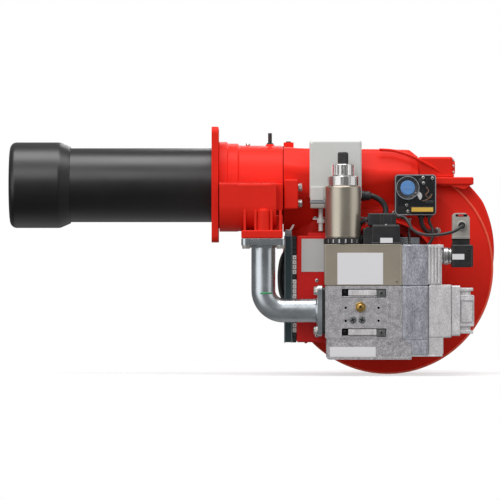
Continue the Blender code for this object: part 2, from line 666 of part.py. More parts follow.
def make_solenoid():
    front, back = GAS_Y - VALVE_HALF_Y + 3, GAS_Y + VALVE_HALF_Y - 3
    floor = VALVE_TOP_Z + GAP
    box = block(VALVE_X0 - 1, VALVE_X1, front, back, floor, TERMINAL_BOX_TOP_Z, 2)
    well = rod("Z", COIL_X, GAS_Y, CORE_R + GAP, floor - 5, TERMINAL_BOX_TOP_Z + 5, MEDIUM_SIDES)
    label_bed = block(COIL_X - 11, COIL_X + 70, front - 5, front + 0.6, floor + 2, floor + 56)
    piece("terminal_box", box, BEIGE, cut=[well, label_bed])
    ring_low = TERMINAL_BOX_TOP_Z + GAP
    ring_top = ring_low + COIL_RING_T
    ring = tube("Z", COIL_X, GAS_Y, COIL_RING_R, CORE_R + GAP, ring_low, ring_top, MEDIUM_SIDES)
    teeth = [moved(block(COIL_X + COIL_RING_R - 2.5, COIL_X + COIL_RING_R + 3, GAS_Y - 2.2, GAS_Y + 2.2,
                         ring_low + 3, ring_top + 4), turned_about("Z", 360 * i / 12 + 7, COIL_X, GAS_Y))
             for i in range(12)]
    piece("coil_ring", ring, BLACK_PLASTIC, cut=[together(*teeth)])
    coil_low = ring_top + GAP
    profile = [(CORE_R + GAP, coil_low), (COIL_R, coil_low), (COIL_R, COIL_TOP_Z - 2),
               (COIL_R - 2, COIL_TOP_Z),
               (CORE_R + GAP, COIL_TOP_Z)]
    piece("solenoid_coil", turned("Z", profile, (COIL_X, GAS_Y), LARGE_SIDES), BEIGE)
    ring_low = COIL_TOP_Z + GAP
    profile = [(CORE_R + GAP, ring_low), (TOP_RING_R, ring_low), (TOP_RING_R, TOP_RING_TOP_Z - 3),
               (TOP_RING_R - 3, TOP_RING_TOP_Z), (CORE_R + GAP, TOP_RING_TOP_Z)]
    piece("coil_nut", turned("Z", profile, (COIL_X, GAS_Y), LARGE_SIDES), CAST_ALUMINIUM)
    core_top = TOP_RING_TOP_Z - GAP
    core = turned("Z", [(CORE_R - 2.5, floor), (CORE_R, floor), (CORE_R, core_top), (0, core_top),
                        (0, core_top - 4),
                        (CORE_R - 2.5, core_top - 4)], (COIL_X, GAS_Y), MEDIUM_SIDES)
    piece("core_tube", core, STEEL)


def make_valve_plunger():
    """The solenoid's plunger, which lifts inside the core tube."""
    low = VALVE_TOP_Z + 2 * GAP
    origin = (COIL_X, GAS_Y, low)
    body = joint_empty("plunger_axis", origin)
    plunger = piece("valve_plunger", rod("Z", COIL_X, GAS_Y, CORE_R - 2.5 - GAP, low, COIL_TOP_Z - 60,
                                         SMALL_SIDES), STEEL,
                    origin=origin)
    carry(body, plunger)


def make_flow_knob():
    low = TOP_RING_TOP_Z + GAP
    origin = (COIL_X, GAS_Y, low)
    profile = [(0, low), (KNOB_R, low), (KNOB_R, KNOB_TOP_Z - 2), (KNOB_R - 2, KNOB_TOP_Z), (0, KNOB_TOP_Z)]
    grooves = [moved(block(COIL_X + KNOB_R - 1.2, COIL_X + KNOB_R + 3, GAS_Y - 0.9, GAS_Y + 0.9, low + 2,
                           KNOB_TOP_Z + 3),
                     turned_about("Z", 20 * i + 5, COIL_X, GAS_Y)) for i in range(18)]
    body = joint_empty("knob_axis", origin)
    knob = piece("flow_knob", turned("Z", profile, (COIL_X, GAS_Y), LARGE_SIDES), CAST_ALUMINIUM,
                 cut=[together(*grooves)],
                 origin=origin)
    low = KNOB_TOP_Z + GAP
    profile = [(0, low), (CAP_R, low), (CAP_R - 0.6, CAP_TOP_Z - 3), (CAP_R - 3, CAP_TOP_Z), (0, CAP_TOP_Z)]
    cap = piece("knob_cap", turned("Z", profile, (COIL_X, GAS_Y), MEDIUM_SIDES), BLACK_PLASTIC, origin=origin)
    carry(body, knob, cap)


def make_valve_connectors():
    low = TERMINAL_BOX_TOP_Z + GAP
    right = COIL_X + COIL_RING_R + 1
    junction = block(right, right + 18, GAS_Y - 24, GAS_Y + 12, low, low + 28.5, 1.5)
    plug_x = right + 15
    plug_top = low + 33.5
    plug = block(plug_x, VALVE_X1 - 3.5, GAS_Y - 28, GAS_Y + 22, low, plug_top, 2)
    lead_stop = block(plug_x - 7, VALVE_X1 - 10, GAS_Y - 22, GAS_Y - 2, plug_top - 1, plug_top + 21.5, 2.5)
    piece("coil_plug", plug, BLACK_PLASTIC, join=[junction, lead_stop])


def make_filter_block():
    x0 = VALVE_X1 + GAP
    half = VALVE_HALF_Y
    panel = block(x0, FILTER_X1, GAS_Y - half, GAS_Y + half - 1, FILTER_BOTTOM_Z, TERMINAL_BOX_TOP_Z, 2)
    ridged = block(FILTER_X1 - 3, FILTER_X1 + 24.5, GAS_Y - half + 5, GAS_Y + half - 5, VALVE_TOP_Z + 2,
                   TERMINAL_BOX_TOP_Z, 1.5)
    flutes = [block(FILTER_X1 + 3 + 5.5 * i, FILTER_X1 + 5.5 + 5.5 * i, GAS_Y - half, GAS_Y - half + 8,
                    VALVE_TOP_Z - 5, TERMINAL_BOX_TOP_Z + 5) for i in range(4)]
    foot = block(x0 - 10, VALVE_BASE_X1 + 1, GAS_Y - half - 5, GAS_Y + half + 5, FILTER_BOTTOM_Z - 5,
                 VALVE_BOTTOM_Z + 2)
    adaptor = rod("X", GAS_Y, (SWITCH_TOP_Z + SWITCH_BOTTOM_Z) / 2, ADAPTOR_R, FILTER_X1 + 20,
                  SWITCH_X0 - GAP, MEDIUM_SIDES)
    piece("filter_housing", panel, CAST_ALUMINIUM, join=[ridged, adaptor],
          cut=[together(*flutes), gas_bore(x0, FILTER_X1), foot])
    x0 = FILTER_X1 + GAP
    inlet = block(x0, INLET_BLOCK_X1, GAS_Y - half + 3, GAS_Y + half - 3, VALVE_BOTTOM_Z + 1.3, VALVE_TOP_Z
                  + 1.4, 2)
    lower = block(x0, x0 + 27, GAS_Y - half + 5, GAS_Y + half - 5, FILTER_BOTTOM_Z, VALVE_BOTTOM_Z + 6, 2)
    piece("inlet_block", inlet, CAST_ALUMINIUM, join=[lower], cut=[gas_bore(x0, INLET_BLOCK_X1)])


def make_inlet_flange():
    x0 = INLET_BLOCK_X1 + GAP
    half_y, half_z = INLET_HALF_Y, INLET_HALF_Z
    plate = block(x0, x0 + 14, GAS_Y - half_y, GAS_Y + half_y, GAS_LINE_Z - half_z, GAS_LINE_Z + half_z, 2)
    outline = rounded(GAS_Y - half_y + 4, GAS_Y + half_y - 4, GAS_LINE_Z - half_z + 4, GAS_LINE_Z
                      + half_z - 4, 10)
    hub = prism("X", outline, x0 + 10, INLET_FLANGE_X1)
    grooves = [block(x0 + 18, x0 + 32, GAS_Y - half_y - 5, GAS_Y - half_y + 9, GAS_LINE_Z + z - 1.6,
                     GAS_LINE_Z + z + 1.6)
               for z in (-34, -28, 28, 34)]
    bore = rod("X", GAS_Y, GAS_LINE_Z, INLET_BORE_R, x0 - 5, INLET_FLANGE_X1 + 5, MEDIUM_SIDES)
    piece("inlet_flange", plate, CAST_ALUMINIUM, join=[hub], cut=[together(*grooves), bore])


def make_gas_switch():
    body = block(SWITCH_X0, SWITCH_X1, GAS_Y - 25, GAS_Y + 25, SWITCH_BOTTOM_Z, SWITCH_TOP_Z, 3)
    foot = block(DIN_X0, DIN_X1, GAS_Y - 15, GAS_Y + 15, SWITCH_TOP_Z - 3, DIN_FOOT_Z - GAP)
    piece("gas_pressure_switch", body, BLACK_PLASTIC, join=[foot])
    slope = 8
    outline = [(DIN_X0, DIN_FOOT_Z), (DIN_X1, DIN_FOOT_Z), (DIN_X1, DIN_TOP_Z - slope),
               (DIN_X1 - slope, DIN_TOP_Z),
               (DIN_X0 + slope / 2, DIN_TOP_Z), (DIN_X0, DIN_TOP_Z - slope / 2)]
    gland_x, gland_z = DIN_X0 + 16, DIN_FOOT_Z + 24
    gland = rod("Y", gland_x, gland_z, 7.5, GAS_Y - 23, GAS_Y - 12, SMALL_SIDES)
    entry = rod("Y", gland_x, gland_z, LEAD_R + GAP, GAS_Y - 30, GAS_Y - 15 - GAP, SMALL_SIDES)
    piece("din_connector", prism("Y", outline, GAS_Y - 15, GAS_Y + 15), DIN_GREY, join=[gland], cut=[entry])


def smooth_route(points, spacing):
    """Points at an even spacing along a smooth curve through the route's own points."""
    ends = [points[0] * 2 - points[1]] + points + [points[-1] * 2 - points[-2]]
    fine = []
    for a, b, c, d in zip(ends, ends[1:], ends[2:], ends[3:]):
        for step in range(20):
            t = step / 20
            fine.append(0.5 * (2 * b + (c - a) * t + (2 * a - 5 * b + 4 * c - d) * t * t
                               + (3 * b - a - 3 * c + d) * t ** 3))
    fine.append(points[-1])
    total = sum((q - p).length for p, q in zip(fine, fine[1:]))
    count = max(2, round(total / spacing))
    route, run, target = [fine[0]], 0.0, total / count
    for p, q in zip(fine, fine[1:]):
        run += (q - p).length
        if run >= target * len(route) and len(route) < count:
            route.append(q)
    return route + [fine[-1]]


def cable(name, r, points, look=CABLE_BLACK):
    """A round lead along a route, with filled ends."""
    data = bpy.data.curves.new(name, "CURVE")
    data.dimensions = "3D"
    data.bevel_depth = r * MM
    data.bevel_resolution = 2
    data.use_fill_caps = True
    route = smooth_route([Vector(p) for p in points], 4 * r)
    spline = data.splines.new("POLY")
    spline.points.add(len(route) - 1)
    for point, place in zip(spline.points, route):
        point.co = (*(place * MM), 1)
    obj = bpy.data.objects.new(name, data)
    data.materials.append(finish_material(name, look))
    bpy.context.scene.collection.objects.link(obj)
    return obj


def duct_section(top, shoulder, ridge, ridge_top, ridge_low, bottom, foot, inset=0.0):
    """The duct's section in Y and Z: eight sides, widest at its ridge."""
    top, ridge, bottom = top - inset, ridge - inset, bottom + inset
    shoulder, foot = shoulder - inset / 2, foot - inset / 2
    return [(-shoulder, top), (-ridge, ridge_top), (-ridge, ridge_low), (-foot, bottom),
            (foot, bottom), (ridge, ridge_low), (ridge, ridge_top), (shoulder, top)]


# Place along X, then top, shoulder, ridge, ridge top, ridge low, bottom and foot
DUCT_SECTIONS = (
    (HOUSING_END_X + JOINT_GAP, HOUSING_R - 3, 36, HOUSING_R, 32, -32, DUCT_BOTTOM_Z, 30),
    (160.0, HOUSING_R - 5, 36, HOUSING_R - 8, 27, -20, DUCT_BOTTOM_Z, 26),
    (300.0, 64.5, 32, 58, 22, 8, -60.0, 24),
    (354.0, 63.5, 28, 53, 21, 10, -55.0, 24),
    (DUCT_END_X, 51.0, 26, 49, 20, 12, -50.0, 22),
)


def scroll_outline(inset, close_z):
    """The scroll in X and Z: a circle that grows toward the outlet, closed across the duct."""
    count = 40
    span = SCROLL_TONGUE_ANGLE - SCROLL_TOP_ANGLE
    points = []
    for i in range(count + 1):
        a = SCROLL_TOP_ANGLE + span * i / count
        r = SCROLL_R + SCROLL_GROWTH * min(max(a / SCROLL_GROWTH_END, 0), 1) - inset
        points.append((FAN_X + r * math.cos(a), FAN_Z + r * math.sin(a)))
    return points + [(HOUSING_END_X + 30, close_z), (LEDGE_X1 - 30, close_z)]


def make_fan_casing(body):
    fan = (FAN_X, FAN_Z)
    wall = CASING_WALL
    ledge_low = LEDGE_TOP_Z - LEDGE_T
    scroll = prism("Y", scroll_outline(0, ledge_low + 4), SCROLL_FRONT_Y, CASING_BACK_Y)
    rim = SCROLL_R - 0.5
    front = turned("Y", [(0, SCROLL_FRONT_Y + 3), (rim, SCROLL_FRONT_Y + 3), (rim, SCROLL_FRONT_Y - 2),
                         (CASING_FRONT_R, CASING_FRONT_Y), (0, CASING_FRONT_Y)], fan, LARGE_SIDES)
    ledge = block(DUCT_END_X - 6, LEDGE_X1, -LEDGE_HALF_Y, LEDGE_HALF_Y, ledge_low, LEDGE_TOP_Z, 3)
    webs = []
    for index in (0, 2):
        low, high = knuckle_span(index)
        inner_y = HOUSING_R - (31 if index == 0 else 16)
        outline = [(HINGE_X - HINGE_R, inner_y), (HINGE_X + HINGE_R, inner_y)] + arc(HINGE_X, HINGE_Y,
                                                                                     HINGE_R, 0, 180, 10)
        webs.append(prism("Z", outline, low, high))
    lug = block(HOUSING_END_X + JOINT_GAP + 0.5, HOUSING_END_X + 26.5, CLAMP_Y - 20, 7 - HOUSING_R,
                -44, 9, 3, 1)
    duct = loft("X", [(row[0], duct_section(*row[1:])) for row in DUCT_SECTIONS])

    above = block(DUCT_END_X + GAP, LEDGE_X1 + 20, -90, 90, LEDGE_TOP_Z - 2, LEDGE_TOP_Z + 60)
    inside = [(row[0], duct_section(*row[1:], inset=wall)) for row in DUCT_SECTIONS]
    inside[0] = (HOUSING_END_X - 20, inside[0][1])
    inside[-1] = (DUCT_END_X - wall, inside[-1][1])
    duct_hollow = loft("X", inside)
    scroll_hollow = prism("Y", scroll_outline(wall, ledge_low - wall), SCROLL_FRONT_Y + wall,
                          CASING_BACK_Y - wall)
    front_hollow = turned("Y", [(0, SCROLL_FRONT_Y + wall + 2), (rim - wall, SCROLL_FRONT_Y + wall + 2),
                                (rim - wall, SCROLL_FRONT_Y + 1),
                                (CASING_FRONT_R - wall, CASING_FRONT_Y + wall),
                                (0, CASING_FRONT_Y + wall)], fan, LARGE_SIDES)
    openings = turned("Y", [(0, CASING_FRONT_Y - 5), (CASING_FRONT_HOLE_R, CASING_FRONT_Y - 5),
                            (CASING_FRONT_HOLE_R, 0),
                            (CASING_BACK_HOLE_R, 0), (CASING_BACK_HOLE_R, CASING_BACK_Y + 5),
                            (0, CASING_BACK_Y + 5)],
                      fan, LARGE_SIDES)
    pin_bore = rod("Z", HINGE_X, HINGE_Y, HINGE_PIN_R + GAP, -100, 100, SMALL_SIDES)
    bolt_bores = [rod("X", CLAMP_Y, z, CLAMP_BOLT_R + GAP, HOUSING_END_X - 5, HOUSING_END_X + 40, SMALL_SIDES)
                  for z in CLAMP_BOLT_ZS]
    sight_bore = rod("X", 0, LEDGE_TOP_Z + SIGHT_HEIGHT, SIGHT_R, DUCT_END_X - 12, DUCT_END_X + 5,
                     SMALL_SIDES)
    casing = piece("fan_casing", duct, PAINT_RED, join=[scroll, front],
                   cut=[above, duct_hollow, scroll_hollow, front_hollow], add=[ledge, *webs, lug],
                   bore=[openings, pin_bore, together(*bolt_bores), sight_bore])
    carry(body, casing)


def make_joint_fasteners(body):
    _, top = knuckle_span(0)
    low, _ = knuckle_span(3)
    pin = turned("Z", [(0, low), (HINGE_PIN_R, low), (HINGE_PIN_R, top + GAP), (HINGE_PIN_R + 1.6, top + GAP),
                       (HINGE_PIN_R + 1.6, top + 3), (0, top + 3)], (HINGE_X, HINGE_Y), SMALL_SIDES)
    piece("hinge_pin", pin, STEEL)
    seat = HOUSING_END_X + 26.5 + GAP
    for index, z in enumerate(CLAMP_BOLT_ZS):
        bolt = bolt_along("X", CLAMP_Y, z, CLAMP_BOLT_R, 13, HOUSING_END_X - 8, seat, 7)
        carry(body, piece(f"clamp_bolt_{index + 1}", bolt, STEEL))


def make_rear_cover(body):
    """A hollow block whose open front meets the duct's end and whose open foot stands on the ledge."""
    low, high = LEDGE_TOP_Z + GAP, COVER_TOP_Z
    x0, x1 = DUCT_END_X + GAP, COVER_END_X
    half, wall = COVER_HALF_Y, COVER_WALL
    centre = (0, LEDGE_TOP_Z + SIGHT_HEIGHT)
    cover = block(x0 - 10, x1, -half, half, low - 10, high, 5, 2)
    ahead = block(x0 - 20, x0, -half - 5, half + 5, low - 20, high + 5)
    below = block(x0 - 20, x1 + 5, -half - 5, half + 5, low - 20, low)
    hollow = block(x0 - 10, x1 - wall, -half + wall, half - wall, low - 10, high - wall)
    window = rod("X", *centre, SIGHT_R, x1 - 10, x1 + 10, MEDIUM_SIDES)
    ring = turned("X", [(0, x1 - 1), (13, x1 - 1), (13, x1 + 3), (11.5, x1 + 5), (0, x1 + 5)], centre)
    shell = piece("rear_cover", cover, PAINT_RED, join=[ring], cut=[hollow, window, ahead, below])
    glass = rod("X", *centre, SIGHT_R - GAP, x1, x1 + 3, MEDIUM_SIDES)
    carry(body, shell, piece("sight_glass", glass, CLEAR))


def make_motor(body):
    fan = (FAN_X, FAN_Z)
    seat = CASING_BACK_Y + GAP
    plate = turned("Y", [(SHAFT_R + 3, CASING_BACK_Y - 4), (CASING_BACK_HOLE_R - GAP, CASING_BACK_Y - 4),
                         (CASING_BACK_HOLE_R - GAP, seat), (MOTOR_PLATE_R, seat),
                         (MOTOR_PLATE_R, seat + MOTOR_PLATE_T), (SHAFT_R + 3, seat + MOTOR_PLATE_T)], fan,
                   LARGE_SIDES)
    plate = piece("motor_plate", plate, PAINT_RED)
    start = seat + MOTOR_PLATE_T + GAP
    frame = rod("Y", *fan, MOTOR_R, start, MOTOR_END_Y, LARGE_SIDES)
    grooves = [moved(block(FAN_X + MOTOR_R - 7, FAN_X + MOTOR_R + 5, start + 14, MOTOR_END_Y + 5,
                           FAN_Z - 2.6, FAN_Z + 2.6),
                     turned_about("Y", 360 * i / 18 + 10, FAN_X, 0, FAN_Z)) for i in range(18)]
    bore = rod("Y", *fan, SHAFT_R + 1, start - 5, start + 60, MEDIUM_SIDES)
    neck = block(FAN_X - 34, FAN_X + 34, start + 34, start + 101, FAN_Z + MOTOR_R - 12, FAN_Z + MOTOR_R + 8)
    box = block(FAN_X - 40, FAN_X + 40, start + 30, start + 105, FAN_Z + MOTOR_R + 5, FAN_Z + MOTOR_R + 40, 5)
    motor = piece("fan_motor", frame, CAST_ALUMINIUM, cut=[together(*grooves), bore], join=[neck, box])
    end = MOTOR_END_Y + GAP
    cowl = turned("Y", [(0, COWL_END_Y), (0, COWL_END_Y - 2.5), (MOTOR_R - 4, COWL_END_Y - 2.5),
                        (MOTOR_R - 1.5, end),
                        (MOTOR_R + 1, end), (MOTOR_R - 1.5, COWL_END_Y - 2), (MOTOR_R - 5, COWL_END_Y)],
                  fan, LARGE_SIDES)
    vents = [moved(block(FAN_X + 16, FAN_X + 50, COWL_END_Y - 8, COWL_END_Y + 5, FAN_Z - 3, FAN_Z + 3),
                   turned_about("Y", 45 * i, FAN_X, 0, FAN_Z)) for i in range(8)]
    carry(body, plate, motor, piece("motor_cowl", cowl, GREY_PLASTIC, cut=[together(*vents)]))


def blade_outline():
    """A forward-curved blade in X and Z, between the wheel's inner and outer radius."""
    outer, inner = [], []
    for i in range(4):
        t = i / 3
        r = WHEEL_INNER_R + 1 + (WHEEL_R - WHEEL_INNER_R - 2) * t
        bend = -0.11 * t * (1 - t) + 0.05 * t
        half = BLADE_T / 2 / r
        outer.append((r * math.cos(bend + half), r * math.sin(bend + half)))
        inner.append((r * math.cos(bend - half), r * math.sin(bend - half)))
    return outer + inner[::-1]


def make_fan_wheel(body):
    fan = (FAN_X, FAN_Z)
    origin = (FAN_X, WHEEL_BACK_Y, FAN_Z)
    spin = joint_empty("fan_axis", origin, body)
    plate_front = WHEEL_BACK_Y - WHEEL_PLATE_T
    hub = turned("Y", [(SHAFT_R + GAP, plate_front - 26), (22, plate_front - 26), (26, plate_front),
                       (WHEEL_R, plate_front), (WHEEL_R, WHEEL_BACK_Y), (SHAFT_R + GAP, WHEEL_BACK_Y)], fan,
                 LARGE_SIDES)
    blades = []
    for i in range(BLADE_COUNT):
        blade = prism("Y", blade_outline(), WHEEL_FRONT_Y + 1.5, plate_front + 1)
        blades.append(moved(blade, along(FAN_X, 0, FAN_Z) @ Matrix.Rotation(TURN * i / BLADE_COUNT, 4, "Y")))
    ring = turned("Y", [(WHEEL_INNER_R, WHEEL_FRONT_Y), (WHEEL_R, WHEEL_FRONT_Y),
                        (WHEEL_R, WHEEL_FRONT_Y + 3),
                        (WHEEL_INNER_R, WHEEL_FRONT_Y + 3)], fan, LARGE_SIDES)
    wheel = piece("fan_wheel", hub, ZINC, join=[together(*blades), ring], origin=origin)
    shaft_start = plate_front - 24
    shaft = piece("motor_shaft", rod("Y", *fan, SHAFT_R, shaft_start, CASING_BACK_Y + MOTOR_PLATE_T + 50,
                                     MEDIUM_SIDES), STEEL,
                  origin=origin)
    carry(spin, wheel, shaft)


def make_air_intake(body):
    fan = (FAN_X, FAN_Z)
    back = CASING_FRONT_Y - GAP
    front = back - INTAKE_PLATE_T
    plate = turned("Y", [(THROAT_R, back + 12), (THROAT_R, front + 2), (THROAT_R + 2, front),
                         (INTAKE_PLATE_R, front),
                         (INTAKE_PLATE_R, back), (THROAT_R + 3, back), (THROAT_R + 3, back + 12)], fan,
                   LARGE_SIDES)
    ring = tube("Y", *fan, RING_R, RING_R - RING_WALL, RING_FRONT_Y, front + 1.5, LARGE_SIDES)
    shafts = [rod("Z", FAN_X + x, DAMPER_Y, DAMPER_SHAFT_R + GAP, FAN_Z, FAN_Z + RING_R + 5, SMALL_SIDES)
              for x in damper_places()]
    carry(body, piece("air_intake", plate, PAINT_RED, join=[ring], cut=[together(*shafts)]))


def damper_places():
    """Places of the blades' shafts along X, about the fan axis."""
    return [DAMPER_PITCH * (i - (DAMPER_COUNT - 1) / 2) for i in range(DAMPER_COUNT)]


def lever_shape(x, y):
    """A lever with its hub at x, y and its pin hole one arm further along -X and +Y."""
    tip_x, tip_y = lever_tip(x, y)
    angle = math.degrees(math.atan2(tip_y - y, tip_x - x))
    outline = obround((x + tip_x) / 2, (y + tip_y) / 2, LEVER_ARM, 9, angle)
    return prism("Z", outline, LEVER_BOTTOM_Z, LEVER_BOTTOM_Z + LEVER_T)


def lever_tip(x, y):
    reach = LEVER_ARM * math.sqrt(0.5)
    return x - reach, y + reach


def link_pin(x, y):
    return rod("Z", *lever_tip(x, y), LINK_PIN_R, LEVER_BOTTOM_Z + 1, LEVER_BOTTOM_Z + LEVER_T + TIE_BAR_T
               + 1.2, SMALL_SIDES)


def make_damper(body):
    half_chord = DAMPER_PITCH / 2 - 0.6
    for index, place in enumerate(damper_places()):
        x = FAN_X + place
        origin = (x, DAMPER_Y, LEVER_BOTTOM_Z)
        turn = joint_empty(f"damper_axis_{index + 1}", origin, body)
        reach = abs(place) + half_chord
        half_height = math.sqrt((RING_R - RING_WALL) ** 2 - reach ** 2) - 3
        outline = [(x - half_chord, DAMPER_Y - 0.6), (x, DAMPER_Y - DAMPER_T),
                   (x + half_chord, DAMPER_Y - 0.6),
                   (x + half_chord, DAMPER_Y + 0.6), (x, DAMPER_Y + DAMPER_T),
                   (x - half_chord, DAMPER_Y + 0.6)]
        leaf = prism("Z", outline, FAN_Z - half_height, FAN_Z + half_height)
        shaft = rod("Z", x, DAMPER_Y, DAMPER_SHAFT_R, FAN_Z - half_height + 5, LEVER_BOTTOM_Z + LEVER_T,
                    SMALL_SIDES)
        blade = piece(f"damper_blade_{index + 1}", leaf, ZINC,
                      join=[shaft, lever_shape(x, DAMPER_Y), link_pin(x, DAMPER_Y)], origin=origin)
        carry(turn, blade)


def make_servo(body):
    box = block(SERVO_X0, SERVO_X1, SERVO_FRONT_Y, SERVO_BACK_Y, SERVO_BOTTOM_Z, SERVO_TOP_Z, 7, 2)
    foot = block(SERVO_X0 + 2, SERVO_X0 + 27, SERVO_FRONT_Y - 2.5, SERVO_FRONT_Y + 6, SERVO_BOTTOM_Z + 1.5,
                 SERVO_BOTTOM_Z + 32, 2)
    well = rod("Z", SERVO_SHAFT_X, SERVO_SHAFT_Y, SERVO_SHAFT_R + GAP, SERVO_BOTTOM_Z - 5,
               SERVO_BOTTOM_Z + 15, MEDIUM_SIDES)
    bracket = block(SERVO_X0 + 4, SERVO_X0 + 28, SERVO_BACK_Y - 2, SERVO_BACK_Y + 3.3, -8, 22)
    motor = piece("servo_motor", box, GREY_PLASTIC, join=[foot, bracket], cut=[well])
    origin = (SERVO_SHAFT_X, SERVO_SHAFT_Y, LEVER_BOTTOM_Z)
    turn = joint_empty("servo_axis", origin, body)
    shaft = rod("Z", SERVO_SHAFT_X, SERVO_SHAFT_Y, SERVO_SHAFT_R, CONTROL_TOP_Z + 8, SERVO_BOTTOM_Z + 14,
                SMALL_SIDES)
    lever = piece("servo_lever", shaft, WHITE_PLASTIC,
                  join=[lever_shape(SERVO_SHAFT_X, SERVO_SHAFT_Y), link_pin(SERVO_SHAFT_X, SERVO_SHAFT_Y)],
                  origin=origin)
    carry(turn, lever)
    carry(body, motor)
    make_tie_bar(turn)


def make_tie_bar(servo_turn):
    """The flat bar that couples the servo's lever to the blades' levers.

    Its bent end clears the servo's shaft.
    """
    start_x, start_y = lever_tip(SERVO_SHAFT_X, SERVO_SHAFT_Y)
    pins = [(start_x, start_y)] + [lever_tip(FAN_X + place, DAMPER_Y) for place in damper_places()]
    low = LEVER_BOTTOM_Z + LEVER_T + GAP
    half = TIE_BAR_W / 2
    far_x, far_y = pins[-1]
    outline = [(start_x - half, start_y - half - 1), (start_x + half, start_y - half - 1),
               (start_x + half, far_y - half), (far_x + half + 1, far_y - half),
               (far_x + half + 1, far_y + half), (start_x + half, far_y + half),
               (start_x - half, far_y - half)]
    holes = [rod("Z", x, y, LINK_PIN_R + GAP, low - 5, low + 5, SMALL_SIDES) for x, y in pins]
    origin = (start_x, start_y, low)
    swing = joint_empty("tie_bar_axis", origin, servo_turn)
    bar = piece("tie_bar", prism("Z", outline, low, low + TIE_BAR_T), ZINC, cut=[together(*holes)],
                origin=origin)
    carry(swing, bar)


def make_air_switch(body):
    front, back = AIR_SWITCH_FRONT_Y, AIR_SWITCH_BACK_Y
    box = block(AIR_SWITCH_X0, AIR_SWITCH_X1, front, back, AIR_SWITCH_BOTTOM_Z, AIR_SWITCH_TOP_Z, 4)
    foot = block(AIR_SWITCH_X0 + 6, AIR_SWITCH_X0 + 14, back - 2, back + 6.6, 8, AIR_SWITCH_TOP_Z - 3)
    seat = rod("Y", DIAL_X, DIAL_Z, DIAL_R + 2, front - 5, front + 4, MEDIUM_SIDES)
    case = piece("air_switch_body", box, BLACK_PLASTIC, join=[foot], cut=[seat])
    origin = (DIAL_X, front, DIAL_Z)
    turn = joint_empty("dial_axis", origin, body)
    profile = [(0, front + 4 - GAP), (DIAL_R, front + 4 - GAP), (DIAL_R, front - 1),
               (DIAL_R - 2, front - 2.5),
               (0, front - 2.5)]
    slot = block(DIAL_X - DIAL_R + 3, DIAL_X + DIAL_R - 3, front - 5, front - 1, DIAL_Z - 1.2, DIAL_Z + 1.2)
    dial = piece("air_switch_dial", turned("Y", profile, (DIAL_X, DIAL_Z), MEDIUM_SIDES), BLUE, cut=[slot],
                 origin=origin)
    carry(turn, dial)
    cover = block(AIR_SWITCH_X0 + 2, AIR_SWITCH_X1 - 2, front - 7, front - GAP, AIR_SWITCH_BOTTOM_Z + 16,
                  AIR_SWITCH_TOP_Z - 2, 2.5)
    room = block(AIR_SWITCH_X0 + 4, AIR_SWITCH_X1 - 4, front - 5, front + 5, AIR_SWITCH_BOTTOM_Z + 18,
                 AIR_SWITCH_TOP_Z - 4)
    carry(body, case, piece("air_switch_cover", cover, CLEAR, cut=[room]))


def make_control_box(body):
    plate_back = BRACKET_Y + BRACKET_T
    left = CONTROL_X0 - 22
    plate = block(left, CONTROL_X1 - 4, BRACKET_Y, plate_back, CONTROL_BOTTOM_Z + 4, CONTROL_TOP_Z - 4)
    posts = [rod("Y", CONTROL_X0 + 25, FAN_Z + z, 5, BRACKET_Y + 1, CASING_FRONT_Y - GAP, SMALL_SIDES)
             for z in (-52, 52)]
    plate = piece("control_bracket", plate, STEEL, join=[together(*posts)])
    back = BRACKET_Y - GAP
    case = block(CONTROL_X0, CONTROL_X1, CONTROL_FRONT_Y, back, CONTROL_BOTTOM_Z, CONTROL_TOP_Z, 3)
    ledge = block(CONTROL_X0 + 20, CONTROL_X1 - 10, CONTROL_FRONT_Y + 8, back - 6, CONTROL_TOP_Z - 3,
                  CONTROL_TOP_Z + 5.5, 2)
    label_bed = block(CONTROL_X0 + 9, CONTROL_X0 + 62, CONTROL_FRONT_Y - 5, CONTROL_FRONT_Y + 0.6,
                      CONTROL_TOP_Z - 64,
                      CONTROL_TOP_Z - 6)
    case = piece("control_box", case, PAINT_RED, join=[ledge], cut=[label_bed])
    strip_x = CONTROL_X0 - GAP
    pitch = (CONTROL_TOP_Z - CONTROL_BOTTOM_Z) / 22
    strip = block(strip_x - 7, strip_x, CONTROL_FRONT_Y + 4, back, CONTROL_BOTTOM_Z, CONTROL_TOP_Z)
    notches = [block(strip_x - 12, strip_x + 5, CONTROL_FRONT_Y, CONTROL_FRONT_Y + 12, CONTROL_BOTTOM_Z
                     + pitch * (i + 0.8),
                     CONTROL_BOTTOM_Z + pitch * (i + 1)) for i in range(21)]
    strip = piece("terminal_strip", strip, WHITE_PLASTIC, cut=[together(*notches)])
    channel_x = strip_x - 7 - GAP
    channel = block(channel_x - 14.4, channel_x, CONTROL_FRONT_Y + 2, back, CONTROL_BOTTOM_Z - 1,
                    CONTROL_TOP_Z)
    trough = block(channel_x - 12.4, channel_x - 2, CONTROL_FRONT_Y - 5, back - 2, CONTROL_BOTTOM_Z - 5,
                   CONTROL_TOP_Z - 5)
    stop_low = CONTROL_TOP_Z
    stop = block(channel_x - 13, channel_x - 1, CONTROL_FRONT_Y + 8, back - 1, stop_low - 3, stop_low + 9)
    tab = prism("Y", [(channel_x - 12, stop_low + 8), (channel_x - 2, stop_low + 8),
                      (channel_x + 4, stop_low + 19),
                      (channel_x + 1, stop_low + 20.5), (channel_x - 5, stop_low + 11),
                      (channel_x - 12, stop_low + 11)],
                CONTROL_FRONT_Y + 14, back - 4)
    channel = piece("wiring_channel", channel, SLATE, cut=[trough], join=[stop, tab])
    carry(body, plate, case, strip, channel)


